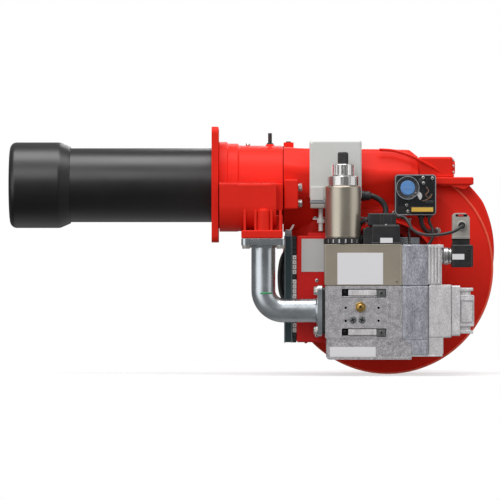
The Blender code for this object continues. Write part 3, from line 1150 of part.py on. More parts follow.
def make_combustion_head():
    """The gas tube with its disc, nozzle and electrodes, which slides along the blast tube."""
    origin = (STUD_X, 0, 0)
    slide = joint_empty("head_slide_axis", origin)
    inner_r = GAS_TUBE_R - GAS_TUBE_WALL
    front, rear = GAS_TUBE_FRONT_X, GAS_TUBE_REAR_X
    nose = front - 20
    profile = [(0, nose), (GAS_TUBE_R - 1, nose), (NOZZLE_R, nose + 4), (NOZZLE_R, front),
               (GAS_TUBE_R, front),
               (GAS_TUBE_R, rear), (0, rear), (0, rear - 4), (inner_r, rear - 4), (inner_r, nose + 5),
               (0, nose + 5)]
    window = rod("Z", CROSSOVER_X, 0, 7, -GAS_TUBE_R - 5, 0, SMALL_SIDES)
    jets = [moved(rod("Z", nose + 12, 0, 2.5, inner_r - 3, NOZZLE_R + 5, 10), turned_about("X", 45 * i))
            for i in range(8)]
    gas_tube = piece("gas_tube", turned("X", profile, count=MEDIUM_SIDES), STEEL,
                     cut=[window, together(*jets)], origin=origin)

    electrode_r = ELECTRODE_Z
    angles = (90, 210)
    places = [(electrode_r * math.cos(math.radians(a)), electrode_r * math.sin(math.radians(a)))
              for a in angles]
    disc_ring = turned("X", [(GAS_TUBE_R + GAP, DISC_X), (DISC_R, DISC_X), (DISC_R, DISC_X + 2.5),
                             (GAS_TUBE_R + 4, DISC_X + 2.5), (GAS_TUBE_R + 4, DISC_X + 14),
                             (GAS_TUBE_R + GAP, DISC_X + 14)],
                       count=LARGE_SIDES)
    slots = [moved(block(DISC_X - 5, DISC_X + 8, -2, 2, 42, DISC_R - 4), turned_about("X", 36 * i + 18))
             for i in range(10)]
    rod_holes = [rod("X", y, z, 3.2, DISC_X - 5, DISC_X + 8, SMALL_SIDES) for y, z in places]
    disc = piece("diffuser_disc", disc_ring, STEEL, cut=[together(*slots), together(*rod_holes)],
                 origin=origin)

    low, high = SPIDER_X, SPIDER_X + SPIDER_W
    ring = tube("X", 0, 0, GAS_TUBE_R + 6, GAS_TUBE_R + GAP, low, high, MEDIUM_SIDES)
    reach = TUBE_R - TUBE_WALL - GAP
    legs = [moved(block(low + 2, high - 2, -1.5, 1.5, GAS_TUBE_R + 3, reach - 0.2),
                  turned_about("X", 120 * i + 180))
            for i in range(3)]
    lugs = [moved(block(low + 3, high - 3, -7, 7, GAS_TUBE_R + 3, electrode_r + 8),
                  turned_about("X", a - 90)) for a in angles]
    holes = [rod("X", y, z, CERAMIC_R + GAP, low - 5, high + 5, SMALL_SIDES) for y, z in places]
    spider = piece("head_spider", ring, STEEL, join=[together(*legs), *lugs], cut=[together(*holes)],
                   origin=origin)

    profile = [(0, DISC_X - 18), (1.3, DISC_X - 18), (1.3, CERAMIC_FRONT_X - 2),
               (CERAMIC_R, CERAMIC_FRONT_X), (CERAMIC_R, CERAMIC_REAR_X), (0, CERAMIC_REAR_X)]
    electrodes = [piece(name, turned("X", profile, place, SMALL_SIDES), CERAMIC_WHITE, origin=origin)
                  for name, place in zip(("ignition_electrode", "flame_probe"), places)]

    seat = GAS_TUBE_R + GAP
    collar = HOUSING_R + GAP
    stud = turned("Z", [(0, seat), (STUD_R, seat), (STUD_R, collar), (6, collar), (6, collar + 4),
                        (STUD_R, collar + 5),
                        (STUD_R, STUD_TOP_Z - 1), (STUD_R - 1, STUD_TOP_Z), (0, STUD_TOP_Z)], (STUD_X, 0),
                  SMALL_SIDES)
    stud = piece("lock_stud", stud, BLACK_PLASTIC, origin=origin)
    carry(slide, gas_tube, disc, spider, *electrodes, stud)


def make_leads(body):
    y = GAS_Y - 12
    gland_x, gland_z = DIN_X0 + 16, DIN_FOOT_Z + 24
    gland_y = GAS_Y - 23
    cable("gas_switch_lead", LEAD_R, [
        (VALVE_X1 - 10 + 3 * GAP, y, -58), (338, y, -58), (344, y - 7, -62), (350, y - 13, -71),
        (354, y - 17, -79), (364, y - 20, -86), (380, y - 24, -90), (402, y - 28, -89.5),
        (421, y - 30, -86), (433, y - 30, -81), (gland_x, gland_y - 14, gland_z - 1),
        (gland_x, gland_y - 3 * GAP, gland_z)])
    switch_y = (AIR_SWITCH_FRONT_Y + AIR_SWITCH_BACK_Y) / 2
    lead_y = RING_FRONT_Y - 8
    switch_lead = cable("air_switch_lead", LEAD_R, [
        (388, switch_y, AIR_SWITCH_BOTTOM_Z - GAP), (388, switch_y, -66), (393, switch_y - 2, -78),
        (394, lead_y + 4, -92), (385, lead_y, -108), (360, lead_y, -122), (310, lead_y, -130),
        (260, lead_y, -128), (238, lead_y, -124), (CONTROL_X1 + 3 * GAP, lead_y + 3, -124)])
    servo_lead = cable("servo_lead", SERVO_LEAD_R, [
        (SERVO_X1 + 4 * GAP, -84, -20), (284, -84, -20), (302, -84, -29), (310, -85, -44), (306, -88, -62),
        (290, -90, -82), (262, -90, -98), (240, -88, -106), (CONTROL_X1 + 2, -83, -106)])
    carry(body, switch_lead, servo_lead)


def main():
    clear_scene()
    make_blast_tube()
    make_mounting_flange()
    make_head_housing()
    make_gas_crossover()
    make_gas_pipe()
    make_valve_outlet()
    make_valve_block()
    make_solenoid()
    make_valve_plunger()
    make_flow_knob()
    make_valve_connectors()
    make_filter_block()
    make_inlet_flange()
    make_gas_switch()
    make_combustion_head()
    fan_unit = joint_empty("hinge_axis", (HINGE_X, HINGE_Y, 0))
    make_joint_fasteners(fan_unit)
    make_fan_casing(fan_unit)
    make_rear_cover(fan_unit)
    make_motor(fan_unit)
    make_fan_wheel(fan_unit)
    make_air_intake(fan_unit)
    make_damper(fan_unit)
    make_servo(fan_unit)
    make_air_switch(fan_unit)
    make_control_box(fan_unit)
    make_leads(fan_unit)


main()
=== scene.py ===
"""Looks of an industrial gas burner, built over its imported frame.

Lengths are in millimetres here and become metres when a mesh is made. The origin is the
centre of the mounting flange's boiler-side face, +X runs back to the fan and +Z is up.
"""

import math
from functools import partial

import bmesh
import bpy
from mathutils import Matrix, Vector


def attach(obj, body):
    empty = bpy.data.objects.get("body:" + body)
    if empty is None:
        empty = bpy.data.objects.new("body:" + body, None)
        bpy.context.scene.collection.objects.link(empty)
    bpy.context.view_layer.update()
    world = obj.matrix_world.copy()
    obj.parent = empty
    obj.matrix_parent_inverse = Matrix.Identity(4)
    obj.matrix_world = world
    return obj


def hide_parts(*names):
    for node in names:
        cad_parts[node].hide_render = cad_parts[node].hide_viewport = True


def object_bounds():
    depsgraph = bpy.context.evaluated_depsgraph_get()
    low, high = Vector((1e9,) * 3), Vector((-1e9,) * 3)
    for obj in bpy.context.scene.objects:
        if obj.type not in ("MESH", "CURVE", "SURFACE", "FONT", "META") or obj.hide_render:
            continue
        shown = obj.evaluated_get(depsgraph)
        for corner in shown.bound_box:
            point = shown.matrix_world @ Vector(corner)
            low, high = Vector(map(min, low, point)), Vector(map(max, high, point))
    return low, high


MM = 0.001
TURN = 2 * math.pi
TUBE_R = 66.5
PIPE_R = 21.2
GAS_Y = -135.0
GAS_LINE = (GAS_Y, -223.7)
RISER = (92.0, GAS_Y)
COIL = (233.0, GAS_Y)
STUD = (104.4, 0.0)
HINGE = (138.4, 84.0)
WEB_PITCH = 34
CLAMP_Y = -84
CLAMP_Z = (-5, -34)
FAN = (315.0, -149.0)

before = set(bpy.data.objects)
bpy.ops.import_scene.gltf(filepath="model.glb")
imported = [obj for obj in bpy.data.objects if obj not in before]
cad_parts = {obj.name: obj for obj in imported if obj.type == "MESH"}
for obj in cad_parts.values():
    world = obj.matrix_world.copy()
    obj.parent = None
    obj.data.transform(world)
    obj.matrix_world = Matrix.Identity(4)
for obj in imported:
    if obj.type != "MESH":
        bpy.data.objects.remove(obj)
cad_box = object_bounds()


# Nodes and materials: a colour with slow and fine variation, a grain, and an edge colour: paler edges are a
# painted highlight, darker ones are on labels and foil


class Nodes:
    """Short ways to add the nodes of one tree and to join them."""

    def __init__(self, owner):
        owner.use_nodes = True
        self.tree = owner.node_tree

    def add(self, kind, **values):
        new = self.tree.nodes.new("ShaderNode" + kind)
        for key, value in values.items():
            if hasattr(new, key):
                setattr(new, key, value)
            else:
                new.inputs[key].default_value = value
        return new

    def fill(self, node, values):
        """Fills a node's inputs, each with another node's output or with a plain value."""
        for key, value in values.items():
            if isinstance(value, bpy.types.NodeSocket):
                self.tree.links.new(value, node.inputs[key])
            else:
                node.inputs[key].default_value = value
        return node

    def ranged(self, source, low, high, to_low, to_high, kind="LINEAR"):
        new = self.add("MapRange", interpolation_type=kind)
        self.fill(new, {"Value": source, "From Min": low, "From Max": high, "To Min": to_low,
                        "To Max": to_high})
        return new.outputs["Result"]

    def mixed(self, factor, a, b, blend="MIX"):
        new = self.add("Mix", data_type="RGBA", blend_type=blend)
        return self.fill(new, {0: factor, 6: a, 7: b}).outputs[2]

    def worked(self, operation, a, b):
        return self.fill(self.add("Math", operation=operation), {0: a, 1: b}).outputs[0]

    def dot(self, a, b):
        new = self.add("VectorMath", operation="DOT_PRODUCT")
        return self.fill(new, {0: a, 1: b}).outputs["Value"]


def surface(name, colour, rough, metal=0.0, vary=0.1, mottle=30.0, speck=0.0, grain=900.0, bump=0.15,
            rough_vary=0.1, stretch=(1, 1, 1), edge=None, edge_share=0.5, shine=0.5):
    made = bpy.data.materials.new(name)
    nodes = Nodes(made)
    scaled = nodes.add("Mapping", Scale=stretch)
    nodes.fill(scaled, {"Vector": nodes.add("TexCoord").outputs["Object"]})
    slow = nodes.add("TexNoise", Scale=mottle, Detail=4.0, Roughness=0.6)
    fine = nodes.add("TexNoise", Scale=grain, Detail=2.0, Roughness=0.6)
    for noise in (slow, fine):
        nodes.fill(noise, {"Vector": scaled.outputs["Vector"]})
    dark = (*[c * (1 - vary) for c in colour], 1)
    light = (*[min(1, c * (1 + vary)) for c in colour], 1)
    tint = nodes.mixed(nodes.ranged(slow.outputs["Fac"], 0.32, 0.68, 0, 1), dark, light)
    if speck:
        share = nodes.ranged(fine.outputs["Fac"], 0.38, 0.62, 1 - speck, 1 + speck * 0.6)
        spots = nodes.fill(nodes.add("CombineColor"), {0: share, 1: share, 2: share})
        tint = nodes.mixed(1.0, tint, spots.outputs[0], "MULTIPLY")
    # Painted highlight: a paler colour over the rounded edges, where they catch light. Labels and foil get a
    # darker edge colour instead.
    if edge:
        rounded_normal = nodes.add("Bevel", samples=4, Radius=0.0011).outputs["Normal"]
        bend = nodes.dot(rounded_normal, nodes.add("NewGeometry").outputs["Normal"])
        tint = nodes.mixed(nodes.ranged(bend, 0.9, 0.998, edge_share, 0), tint, (*edge, 1))
    roughness = nodes.ranged(slow.outputs["Fac"], 0.3, 0.7, max(0.03, rough - rough_vary),
                             min(1, rough + rough_vary))
    relief = nodes.add("Bump", Strength=bump, Distance=0.0004)
    nodes.fill(relief, {"Height": fine.outputs["Fac"]})
    nodes.fill(nodes.tree.nodes["Principled BSDF"], {
        "Base Color": tint, "Roughness": roughness, "Normal": relief.outputs["Normal"], "Metallic": metal,
        "Specular IOR Level": shine})
    return made


LOOKS = {}


def add_look(key, slot, *values, **more):
    LOOKS[key] = (surface(*values, **more), slot)


add_look("red", "red_paint", "red_enamel", (0.73, 0.019, 0.009), 0.4, vary=0.06, mottle=14, grain=420,
         bump=0.1, rough_vary=0.06, edge=(0.86, 0.05, 0.03), edge_share=0.35, shine=0.12)
add_look("red_plastic", "red_plastic", "red_moulding", (0.66, 0.012, 0.01), 0.36, vary=0.05, mottle=20,
         grain=1400, bump=0.08, edge=(0.85, 0.08, 0.06), edge_share=0.4, shine=0.2)
add_look("tube", "tube_black", "heatproof_black", (0.0075, 0.0068, 0.0068), 0.34, vary=0.22, mottle=9,
         grain=1100, bump=0.14, rough_vary=0.04, speck=0.15, edge=(0.03, 0.028, 0.027), shine=0.6)
add_look("cast", "cast_aluminium", "die_cast", (0.47, 0.455, 0.475), 0.48, metal=0.45, vary=0.2, mottle=110,
         speck=0.34, grain=520, bump=0.5, rough_vary=0.12, edge=(0.75, 0.75, 0.76), edge_share=0.6)
add_look("cast_blue", "cast_aluminium", "die_cast_bluish", (0.41, 0.412, 0.465), 0.46, metal=0.45, vary=0.26,
         mottle=75, speck=0.3, grain=520, bump=0.5, rough_vary=0.12, stretch=(1, 1, 0.45),
         edge=(0.68, 0.69, 0.72), edge_share=0.6)
add_look("cast_pale", "cast_aluminium", "die_cast_pale", (0.72, 0.7, 0.71), 0.46, metal=0.4, vary=0.13,
         mottle=80, speck=0.18, grain=620, bump=0.35, stretch=(1, 1, 0.5), edge=(0.85, 0.85, 0.86),
         edge_share=0.6)
add_look("machined", "cast_aluminium", "machined_aluminium", (0.62, 0.61, 0.6), 0.24, metal=0.95, vary=0.06,
         mottle=40, grain=1500, bump=0.03, rough_vary=0.05, stretch=(1, 1, 3), edge=(0.85, 0.85, 0.85))
add_look("zinc", "galvanised_steel", "galvanised", (0.5, 0.54, 0.57), 0.27, metal=0.98, vary=0.14, mottle=34,
         grain=300, bump=0.05, rough_vary=0.08, stretch=(0.6, 1, 0.6))
add_look("steel", "plain_steel", "plain_steel", (0.42, 0.42, 0.43), 0.32, metal=0.95, mottle=50, bump=0.12,
         edge=(0.7, 0.7, 0.7))
add_look("screw", "screw_zinc", "bright_zinc", (0.6, 0.59, 0.56), 0.3, metal=0.85, mottle=120, grain=1500,
         bump=0.1, edge=(0.85, 0.84, 0.8))
add_look("beige_coil", "beige_casing", "coil_enamel", (0.43, 0.39, 0.32), 0.3, metal=0.8, vary=0.05,
         mottle=18, grain=1600, bump=0.06, stretch=(1, 1, 0.4), edge=(0.6, 0.56, 0.5), edge_share=0.4)
add_look("beige", "beige_casing", "beige_enamel", (0.315, 0.275, 0.215), 0.38, metal=0.15, vary=0.06,
         mottle=18, grain=1600, bump=0.12, edge=(0.55, 0.52, 0.45))
add_look("black", "black_plastic", "black_moulding", (0.016, 0.016, 0.018), 0.42, vary=0.2, mottle=60,
         grain=1800, bump=0.3, edge=(0.075, 0.075, 0.08), edge_share=0.6)
add_look("dark", "black_plastic", "recess_shadow", (0.005, 0.005, 0.006), 0.7, vary=0.3, mottle=80,
         grain=1500, bump=0.2, shine=0.12)
add_look("grey", "grey_plastic", "light_grey_moulding", (0.6, 0.615, 0.59), 0.45, vary=0.025, mottle=12,
         grain=2000, bump=0.12, edge=(0.8, 0.82, 0.8))
add_look("grey_mid", "grey_plastic", "mid_grey_moulding", (0.25, 0.27, 0.29), 0.5, vary=0.05, mottle=25,
         grain=2000, edge=(0.45, 0.47, 0.5))
add_look("plug", "plug_grey", "plug_moulding", (0.36, 0.34, 0.31), 0.48, vary=0.06, mottle=60, grain=1900,
         bump=0.2, edge=(0.5, 0.49, 0.47))
add_look("brass", "brass", "turned_brass", (0.58, 0.36, 0.1), 0.25, metal=0.95, vary=0.12, mottle=90,
         grain=1500, bump=0.1, edge=(0.85, 0.65, 0.3))
add_look("ceramic", "white_ceramic", "glazed_ceramic", (0.8, 0.77, 0.7), 0.2, vary=0.04, mottle=60,
         grain=1500, bump=0.06)
add_look("blue", "dial_blue", "blue_moulding", (0.1, 0.28, 0.62), 0.36, vary=0.06, mottle=90, grain=2200,
         bump=0.12, edge=(0.35, 0.5, 0.8))
add_look("slate", "slate_channel", "slate_enamel", (0.035, 0.065, 0.075), 0.36, metal=0.2, vary=0.12,
         grain=1500, bump=0.1, edge=(0.4, 0.46, 0.48), edge_share=0.9)
add_look("lead", "lead_black", "lead_sheath", (0.02, 0.02, 0.021), 0.4, vary=0.15, mottle=60, grain=1800)
add_look("white", "white_plastic", "white_moulding", (0.74, 0.74, 0.71), 0.42, vary=0.03, mottle=60,
         grain=2000, bump=0.12, edge=(0.9, 0.9, 0.88))
add_look("label", "label_pale", "pale_foil", (0.76, 0.75, 0.77), 0.36, vary=0.008, mottle=16, grain=2500,
         bump=0.04, edge=(0.5, 0.5, 0.5), edge_share=0.4)
add_look("foil", "label_pale", "silver_foil", (0.62, 0.63, 0.62), 0.36, metal=0.2, vary=0.015, mottle=14,
         grain=2500, bump=0.05, edge=(0.25, 0.25, 0.25), edge_share=0.4)
add_look("yellow", "label_yellow", "yellow_foil", (0.7, 0.44, 0.06), 0.38, vary=0.04, mottle=40, grain=2500,
         bump=0.05)
add_look("green", "seal_green", "thread_seal", (0.05, 0.35, 0.13), 0.5, vary=0.3, mottle=200, bump=0.6)
add_look("motor", "motor_aluminium", "motor_casting", (0.3, 0.31, 0.33), 0.45, metal=0.5, vary=0.08,
         bump=0.35, edge=(0.55, 0.56, 0.58))
add_look("copper", "brass", "copper_strand", (0.26, 0.14, 0.09), 0.35, metal=0.8, vary=0.15, mottle=90)
add_look("clip", "grey_plastic", "clip_grey", (0.13, 0.14, 0.135), 0.45, metal=0.2, vary=0.12, mottle=60,
         bump=0.1, edge=(0.35, 0.36, 0.36))
# Painted highlight: a paler, brighter red for the scroll's seam bead, where it catches light.
add_look("red_edge", "red_paint", "red_edge_enamel", (0.88, 0.12, 0.07), 0.4, vary=0.06, mottle=14,
         grain=420, bump=0.1, shine=0.2)
add_look("signal_red", "red_plastic", "red_tab", (0.55, 0.02, 0.02), 0.4, vary=0.05, mottle=90)
add_look("clear", "clear_cover", "clear_moulding", (0.2, 0.22, 0.24), 0.07, vary=0.02, mottle=20, grain=1500,
         bump=0.02, rough_vary=0.03, shine=0.3)
LOOKS["clear"][0].node_tree.nodes["Principled BSDF"].inputs["Alpha"].default_value = 0.03


# Outlines in a plane


def circle(r, count=96, u=0.0, v=0.0, turn=0.0):
    return [(u + r * math.cos(turn + TURN * i / count), v + r * math.sin(turn + TURN * i / count))
            for i in range(count)]


def arc(u, v, r, start, end, count):
    steps = [math.radians(start + (end - start) * i / count) for i in range(count + 1)]
    return [(u + r * math.cos(a), v + r * math.sin(a)) for a in steps]


def rounded(u0, u1, v0, v1, r, count=8):
    return (arc(u1 - r, v1 - r, r, 0, 90, count) + arc(u0 + r, v1 - r, r, 90, 180, count)
            + arc(u0 + r, v0 + r, r, 180, 270, count) + arc(u1 - r, v0 + r, r, 270, 360, count))


def rounded_at(centre, half_u, half_v, r, count=8):
    u, v = centre
    return rounded(u - half_u, u + half_u, v - half_v, v + half_v, r, count)


def corners_of(centre, half_u, half_v):
    return [(centre[0] + a * half_u, centre[1] + b * half_v) for a in (-1, 1) for b in (-1, 1)]


def obround(u, v, run, width, angle, count=12):
    r = width / 2
    flat = arc(run / 2, 0, r, -90, 90, count) + arc(-run / 2, 0, r, 90, 270, count)
    c, s = math.cos(math.radians(angle)), math.sin(math.radians(angle))
    return [(u + c * a - s * b, v + s * a + c * b) for a, b in flat]


def softened(points, r, count=4):
    """The same outline with its corners rounded. Points on a turning axis stay sharp."""
    made = []
    for i, here in enumerate(points):
        corner = Vector(here)
        a, b = Vector(points[i - 1]) - corner, Vector(points[(i + 1) % len(points)]) - corner
        if here[0] == 0 or a.length < 1e-6 or b.length < 1e-6:
            made.append(here)
            continue
        reach = min(r, 0.45 * a.length, 0.45 * b.length)
        start, end = corner + a.normalized() * reach, corner + b.normalized() * reach
        for k in range(count + 1):
            t = k / count
            p = (1 - t) ** 2 * start + 2 * t * (1 - t) * corner + t * t * end
            made.append((p.x, p.y))
    return made


# Solids as bmeshes, in millimetres


def in_space(axis, u, v, w):
    return {"X": (w, u, v), "Y": (u, w, v), "Z": (u, v, w)}[axis]


def finished(bm):
    bmesh.ops.recalc_face_normals(bm, faces=bm.faces)
    return bm


def skinned(rings):
    bm = bmesh.new()
    rows = [[bm.verts.new(p) for p in points] for points in rings]
    bm.faces.new(rows[0])
    bm.faces.new(rows[-1])
    for near, far in zip(rows, rows[1:]):
        for i in range(len(near)):
            j = (i + 1) % len(near)
            bm.faces.new((near[i], near[j], far[j], far[i]))
    return finished(bm)


def loft(axis, sections):
    return skinned([[in_space(axis, u, v, w) for u, v in outline] for w, outline in sections])


def prism(axis, outline, low, high):
    return loft(axis, [(low, outline), (high, outline)])


def plate(axis, outline, holes, low, high):
    """A flat plate with holes through it."""
    bm = bmesh.new()
    edges = []
    for loop in [outline, *holes]:
        verts = [bm.verts.new(in_space(axis, u, v, low)) for u, v in loop]
        edges += [bm.edges.new((verts[i], verts[(i + 1) % len(verts)])) for i in range(len(verts))]
    faces = bmesh.ops.triangle_fill(bm, use_beauty=True, use_dissolve=False, edges=edges)["geom"]
    faces = [f for f in faces if isinstance(f, bmesh.types.BMFace)]
    grown = bmesh.ops.extrude_face_region(bm, geom=faces)["geom"]
    shift = Vector(in_space(axis, 0, 0, high - low))
    bmesh.ops.translate(bm, vec=shift, verts=[v for v in grown if isinstance(v, bmesh.types.BMVert)])
    return finished(bm)


def turned(axis, profile, centre=(0.0, 0.0), count=96, soft=0.0):
    """A closed profile of (radius, place on the axis) turned about a line along the axis."""
    if soft:
        profile = softened(profile, soft)
    bm = bmesh.new()
    columns = []
    for i in range(count):
        c, s = math.cos(TURN * i / count), math.sin(TURN * i / count)
        column = []
        for k, (r, w) in enumerate(profile):
            if r > 0 or i == 0:
                column.append(bm.verts.new(in_space(axis, centre[0] + r * c, centre[1] + r * s, w)))
            else:
                column.append(columns[0][k])
        columns.append(column)
    for i in range(count):
        near, far = columns[i], columns[(i + 1) % count]
        for k in range(len(profile)):
            n = (k + 1) % len(profile)
            corners = []
            for vert in (near[k], near[n], far[n], far[k]):
                if vert not in corners:
                    corners.append(vert)
            if len(corners) > 2:
                bm.faces.new(corners)
    return finished(bm)


def spun(axis, profile, centre=(0.0, 0.0), count=96, soft=0.0):
    """A turned solid without a hole, from its outer profile alone."""
    return turned(axis, [(0, profile[0][1]), *profile, (0, profile[-1][1])], centre, count, soft)


def rod(axis, r, low, high, centre, count=48, soft=0.0):
    return spun(axis, [(r, low), (r, high)], centre, count, soft)


def ring(axis, inner, outer, low, high, centre=(0.0, 0.0), count=96, soft=0.0):
    return turned(axis, [(inner, low), (outer, low), (outer, high), (inner, high)], centre, count, soft)


def block(x0, x1, y0, y1, z0, z1, r=0.0, count=4):
    """A box with rounded edges."""
    bm = bmesh.new()
    place = Matrix.Translation(((x0 + x1) / 2, (y0 + y1) / 2, (z0 + z1) / 2))
    bmesh.ops.create_cube(bm, size=1, matrix=place @ Matrix.Diagonal((x1 - x0, y1 - y0, z1 - z0, 1)))
    if r:
        bmesh.ops.bevel(bm, geom=list(bm.edges), offset=r, segments=count, profile=0.5, affect="EDGES",
                        clamp_overlap=True)
    return finished(bm)


def gas_block(x0, x1, y0, y1, z0, z1, r, count=4):
    """A box whose places along Y are counted from the gas line."""
    return block(x0, x1, GAS_Y + y0, GAS_Y + y1, z0, z1, r, count)


def swept(points, r, count=20):
    """A round bar of one radius along a list of points."""
    rings = []
    side = Vector((0, 0, 1))
    for i, p in enumerate(points):
        ahead = points[min(i + 1, len(points) - 1)] - points[max(i - 1, 0)]
        ahead.normalize()
        side = side - ahead * side.dot(ahead)
        if side.length < 1e-3:
            side = ahead.orthogonal()
        side.normalize()
        other = ahead.cross(side)
        rings.append([p + side * r * math.cos(TURN * k / count) + other * r * math.sin(TURN * k / count)
                      for k in range(count)])
    return skinned(rings)


def lead(points, r, count=20, steps=10):
    """A lead or bar along a smooth curve through its route's points."""
    points = [Vector(p) for p in points]
    ends = [points[0] * 2 - points[1]] + points + [points[-1] * 2 - points[-2]]
    fine = []
    for a, b, c, d in zip(ends, ends[1:], ends[2:], ends[3:]):
        for step in range(steps):
            t = step / steps
            fine.append(0.5 * (2 * b + (c - a) * t + (2 * a - 5 * b + 4 * c - d) * t * t
                               + (3 * b - a - 3 * c + d) * t ** 3))
    return swept(fine + [points[-1]], r, count)


def together(*shapes):
    whole = bmesh.new()
    for shape in shapes:
        scratch = bpy.data.meshes.new("scratch")
        shape.to_mesh(scratch)
        whole.from_mesh(scratch)
        bpy.data.meshes.remove(scratch)
        shape.free()
    return whole


def turned_about(shape, axis, degrees, x=0.0, y=0.0, z=0.0):
    there, back = Matrix.Translation((x, y, z)), Matrix.Translation((-x, -y, -z))
    matrix = there @ Matrix.Rotation(math.radians(degrees), 4, axis) @ back
    bmesh.ops.transform(shape, matrix=matrix, verts=shape.verts)
    return shape


def spread(make, count, axis, first=0.0, centre=(0.0, 0.0, 0.0)):
    """Copies of one shape, turned evenly about a line along the axis."""
    return [turned_about(make(), axis, 360 * i / count + first, *centre) for i in range(count)]


def spoke(centre, inner, outer, low, high, half, r):
    """A bar that stands out along X from a centre in the XZ plane."""
    u, v = centre
    return block(u + inner, u + outer, low, high, v - half, v + half, r, 2)


def spokes(count, first, centre, *sizes):
    return spread(lambda: spoke(centre, *sizes), count, "Y", first, (centre[0], 0, centre[1]))


# Pieces


def linked(name, data):
    obj = bpy.data.objects.new(name, data)
    bpy.context.scene.collection.objects.link(obj)
    return obj


def dressed(obj, bevel, steps):
    """Rounds the sharp edges and evens the shading."""
    if bevel:
        modifier = obj.modifiers.new("edges", "BEVEL")
        modifier.width = bevel * MM
        modifier.segments = steps
        modifier.limit_method = "ANGLE"
        modifier.angle_limit = math.radians(32)
        modifier.use_clamp_overlap = True
    modifier = obj.modifiers.new("shading", "WEIGHTED_NORMAL")
    modifier.keep_sharp = True
    modifier.weight = 60


def piece(name, shape, look, bevel=0.0, steps=3, stand_for=(), smooth=38, body="head"):
    """One shown piece. It rides on a body and may stand for solids of the frame."""
    if isinstance(shape, list):
        shape = together(*shape)
    bmesh.ops.transform(shape, matrix=Matrix.Scale(MM, 4), verts=shape.verts)
    mesh = bpy.data.meshes.new(name)
    shape.to_mesh(mesh)
    shape.free()
    obj = linked(name, mesh)
    mesh.shade_smooth()
    mesh.set_sharp_from_angle(angle=math.radians(smooth))
    material, slot = LOOKS[look]
    mesh.materials.append(material)
    dressed(obj, bevel, steps)
    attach(obj, body)
    if stand_for:
        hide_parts(*stand_for)


def keep(name, look, bevel=0.3):
    """A solid of the frame that is shown as it is, with its edges broken."""
    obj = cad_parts[name]
    obj.data.materials.clear()
    obj.data.materials.append(LOOKS[look][0])
    weld = obj.modifiers.new("weld", "WELD")
    weld.merge_threshold = 0.00002
    dressed(obj, bevel, 2)


def hex_bolt(axis, place, seat, out, across, head, washer, turn=0.3):
    """A hexagon head on a washer, standing out from its seat."""
    top = seat + out * head
    corner = across / math.sqrt(3)
    disc = rod(axis, washer, seat, seat + out * 1.4, place, 40, 0.4)
    body = prism(axis, circle(corner, 6, *place, turn), *sorted((seat + out * 1.2, top - out * 0.9)))
    cap = spun(axis, [(corner * 0.97, top - out), (across / 2 * 0.93, top)], place, 40)
    return together(disc, body, cap)


def bolts(name, axis, places, seat, out, across, head, washer, bevel=0.3, body="head"):
    heads = [hex_bolt(axis, place, seat, out, across, head, washer) for place in places]
    piece(name, heads, "screw", bevel, 2, body=body)


def nut(axis, place, seat, out, across, height, shank, stick):
    """A hexagon nut and the end of the thread through it."""
    top = seat + out * height
    end = top + out * stick
    body = prism(axis, circle(across / math.sqrt(3), 6, *place, 0.1), *sorted((seat, top)))
    thread = spun(axis, [(shank, top - out), (shank, end - out * 0.8), (shank - 0.8, end)], place, 32)
    return together(body, thread)


def screws(name, axis, places, seat, out, r=3.2, height=2.0, look="screw", body="head"):
    """Pan heads as one piece, and the crosses cut in them as another, in near black as painted shade in the
    slots.
    """
    top = seat + out * height
    profile = [(r, seat - out * 0.5), (r, seat + out * height * 0.45), (r * 0.7, top)]
    heads = [spun(axis, profile, place, 32, r * 0.2) for place in places]
    crosses = []
    for i, (u, v) in enumerate(places):
        bars = []
        for k in range(2):
            a = 0.4 + i * 0.9 + k * TURN / 4
            bar = [(u + r * 0.62 * math.cos(a + s) * m, v + r * 0.62 * math.sin(a + s) * m)
                   for s, m in ((0.2, 1), (-0.2, 1), (0.2, -1), (-0.2, -1))]
            bars.append(prism(axis, bar, *sorted((top - out * 0.5, top + out * 0.06))))
        crosses.append(together(*bars))
    piece(name + "_heads", heads, look, body=body)
    # The crosses in near black: painted shade.
    piece(name + "_crosses", crosses, "dark", body=body)


fan_piece = partial(piece, body="fan_unit")
fan_bolts = partial(bolts, body="fan_unit")
fan_screws = partial(screws, body="fan_unit")
inner_piece = partial(piece, body="combustion_head")


# Combustion head and blast tube


def make_tube():
    tube = ring("X", 64.5, TUBE_R, -270, 11.7, count=144, soft=0.5)
    piece("tube_skin", tube, "tube", stand_for=["blast_tube"])
    lip_x, lip_r = -351.0, 65.0
    outer_lip = [(r, x) for x, r in arc(lip_x, lip_r, 12, 180, 90, 14)]
    inner_lip = [(r, x) for x, r in arc(lip_x, lip_r, 9.7, 90, 180, 10)]
    shoulder = [(77.0 - 0.9 * t * t, -276.0 + 5.0 * t) for t in (0, 0.35, 0.7, 1.0)]
    inside = [(69.4, -255.4), (68.7, -254.3), (66.8, -254), (66.8, -263.5), (74.7, -273)]
    sleeve = turned("X", outer_lip + shoulder + inside + inner_lip, count=144)
    piece("sleeve_skin", sleeve, "tube", stand_for=["head_sleeve"])
    bead = [Vector((x, TUBE_R * math.sin(0.35), -TUBE_R * math.cos(0.35))) for x in (-252, -120, -60, -1)]
    piece("tube_seam", swept(bead, 0.7, 10), "tube")


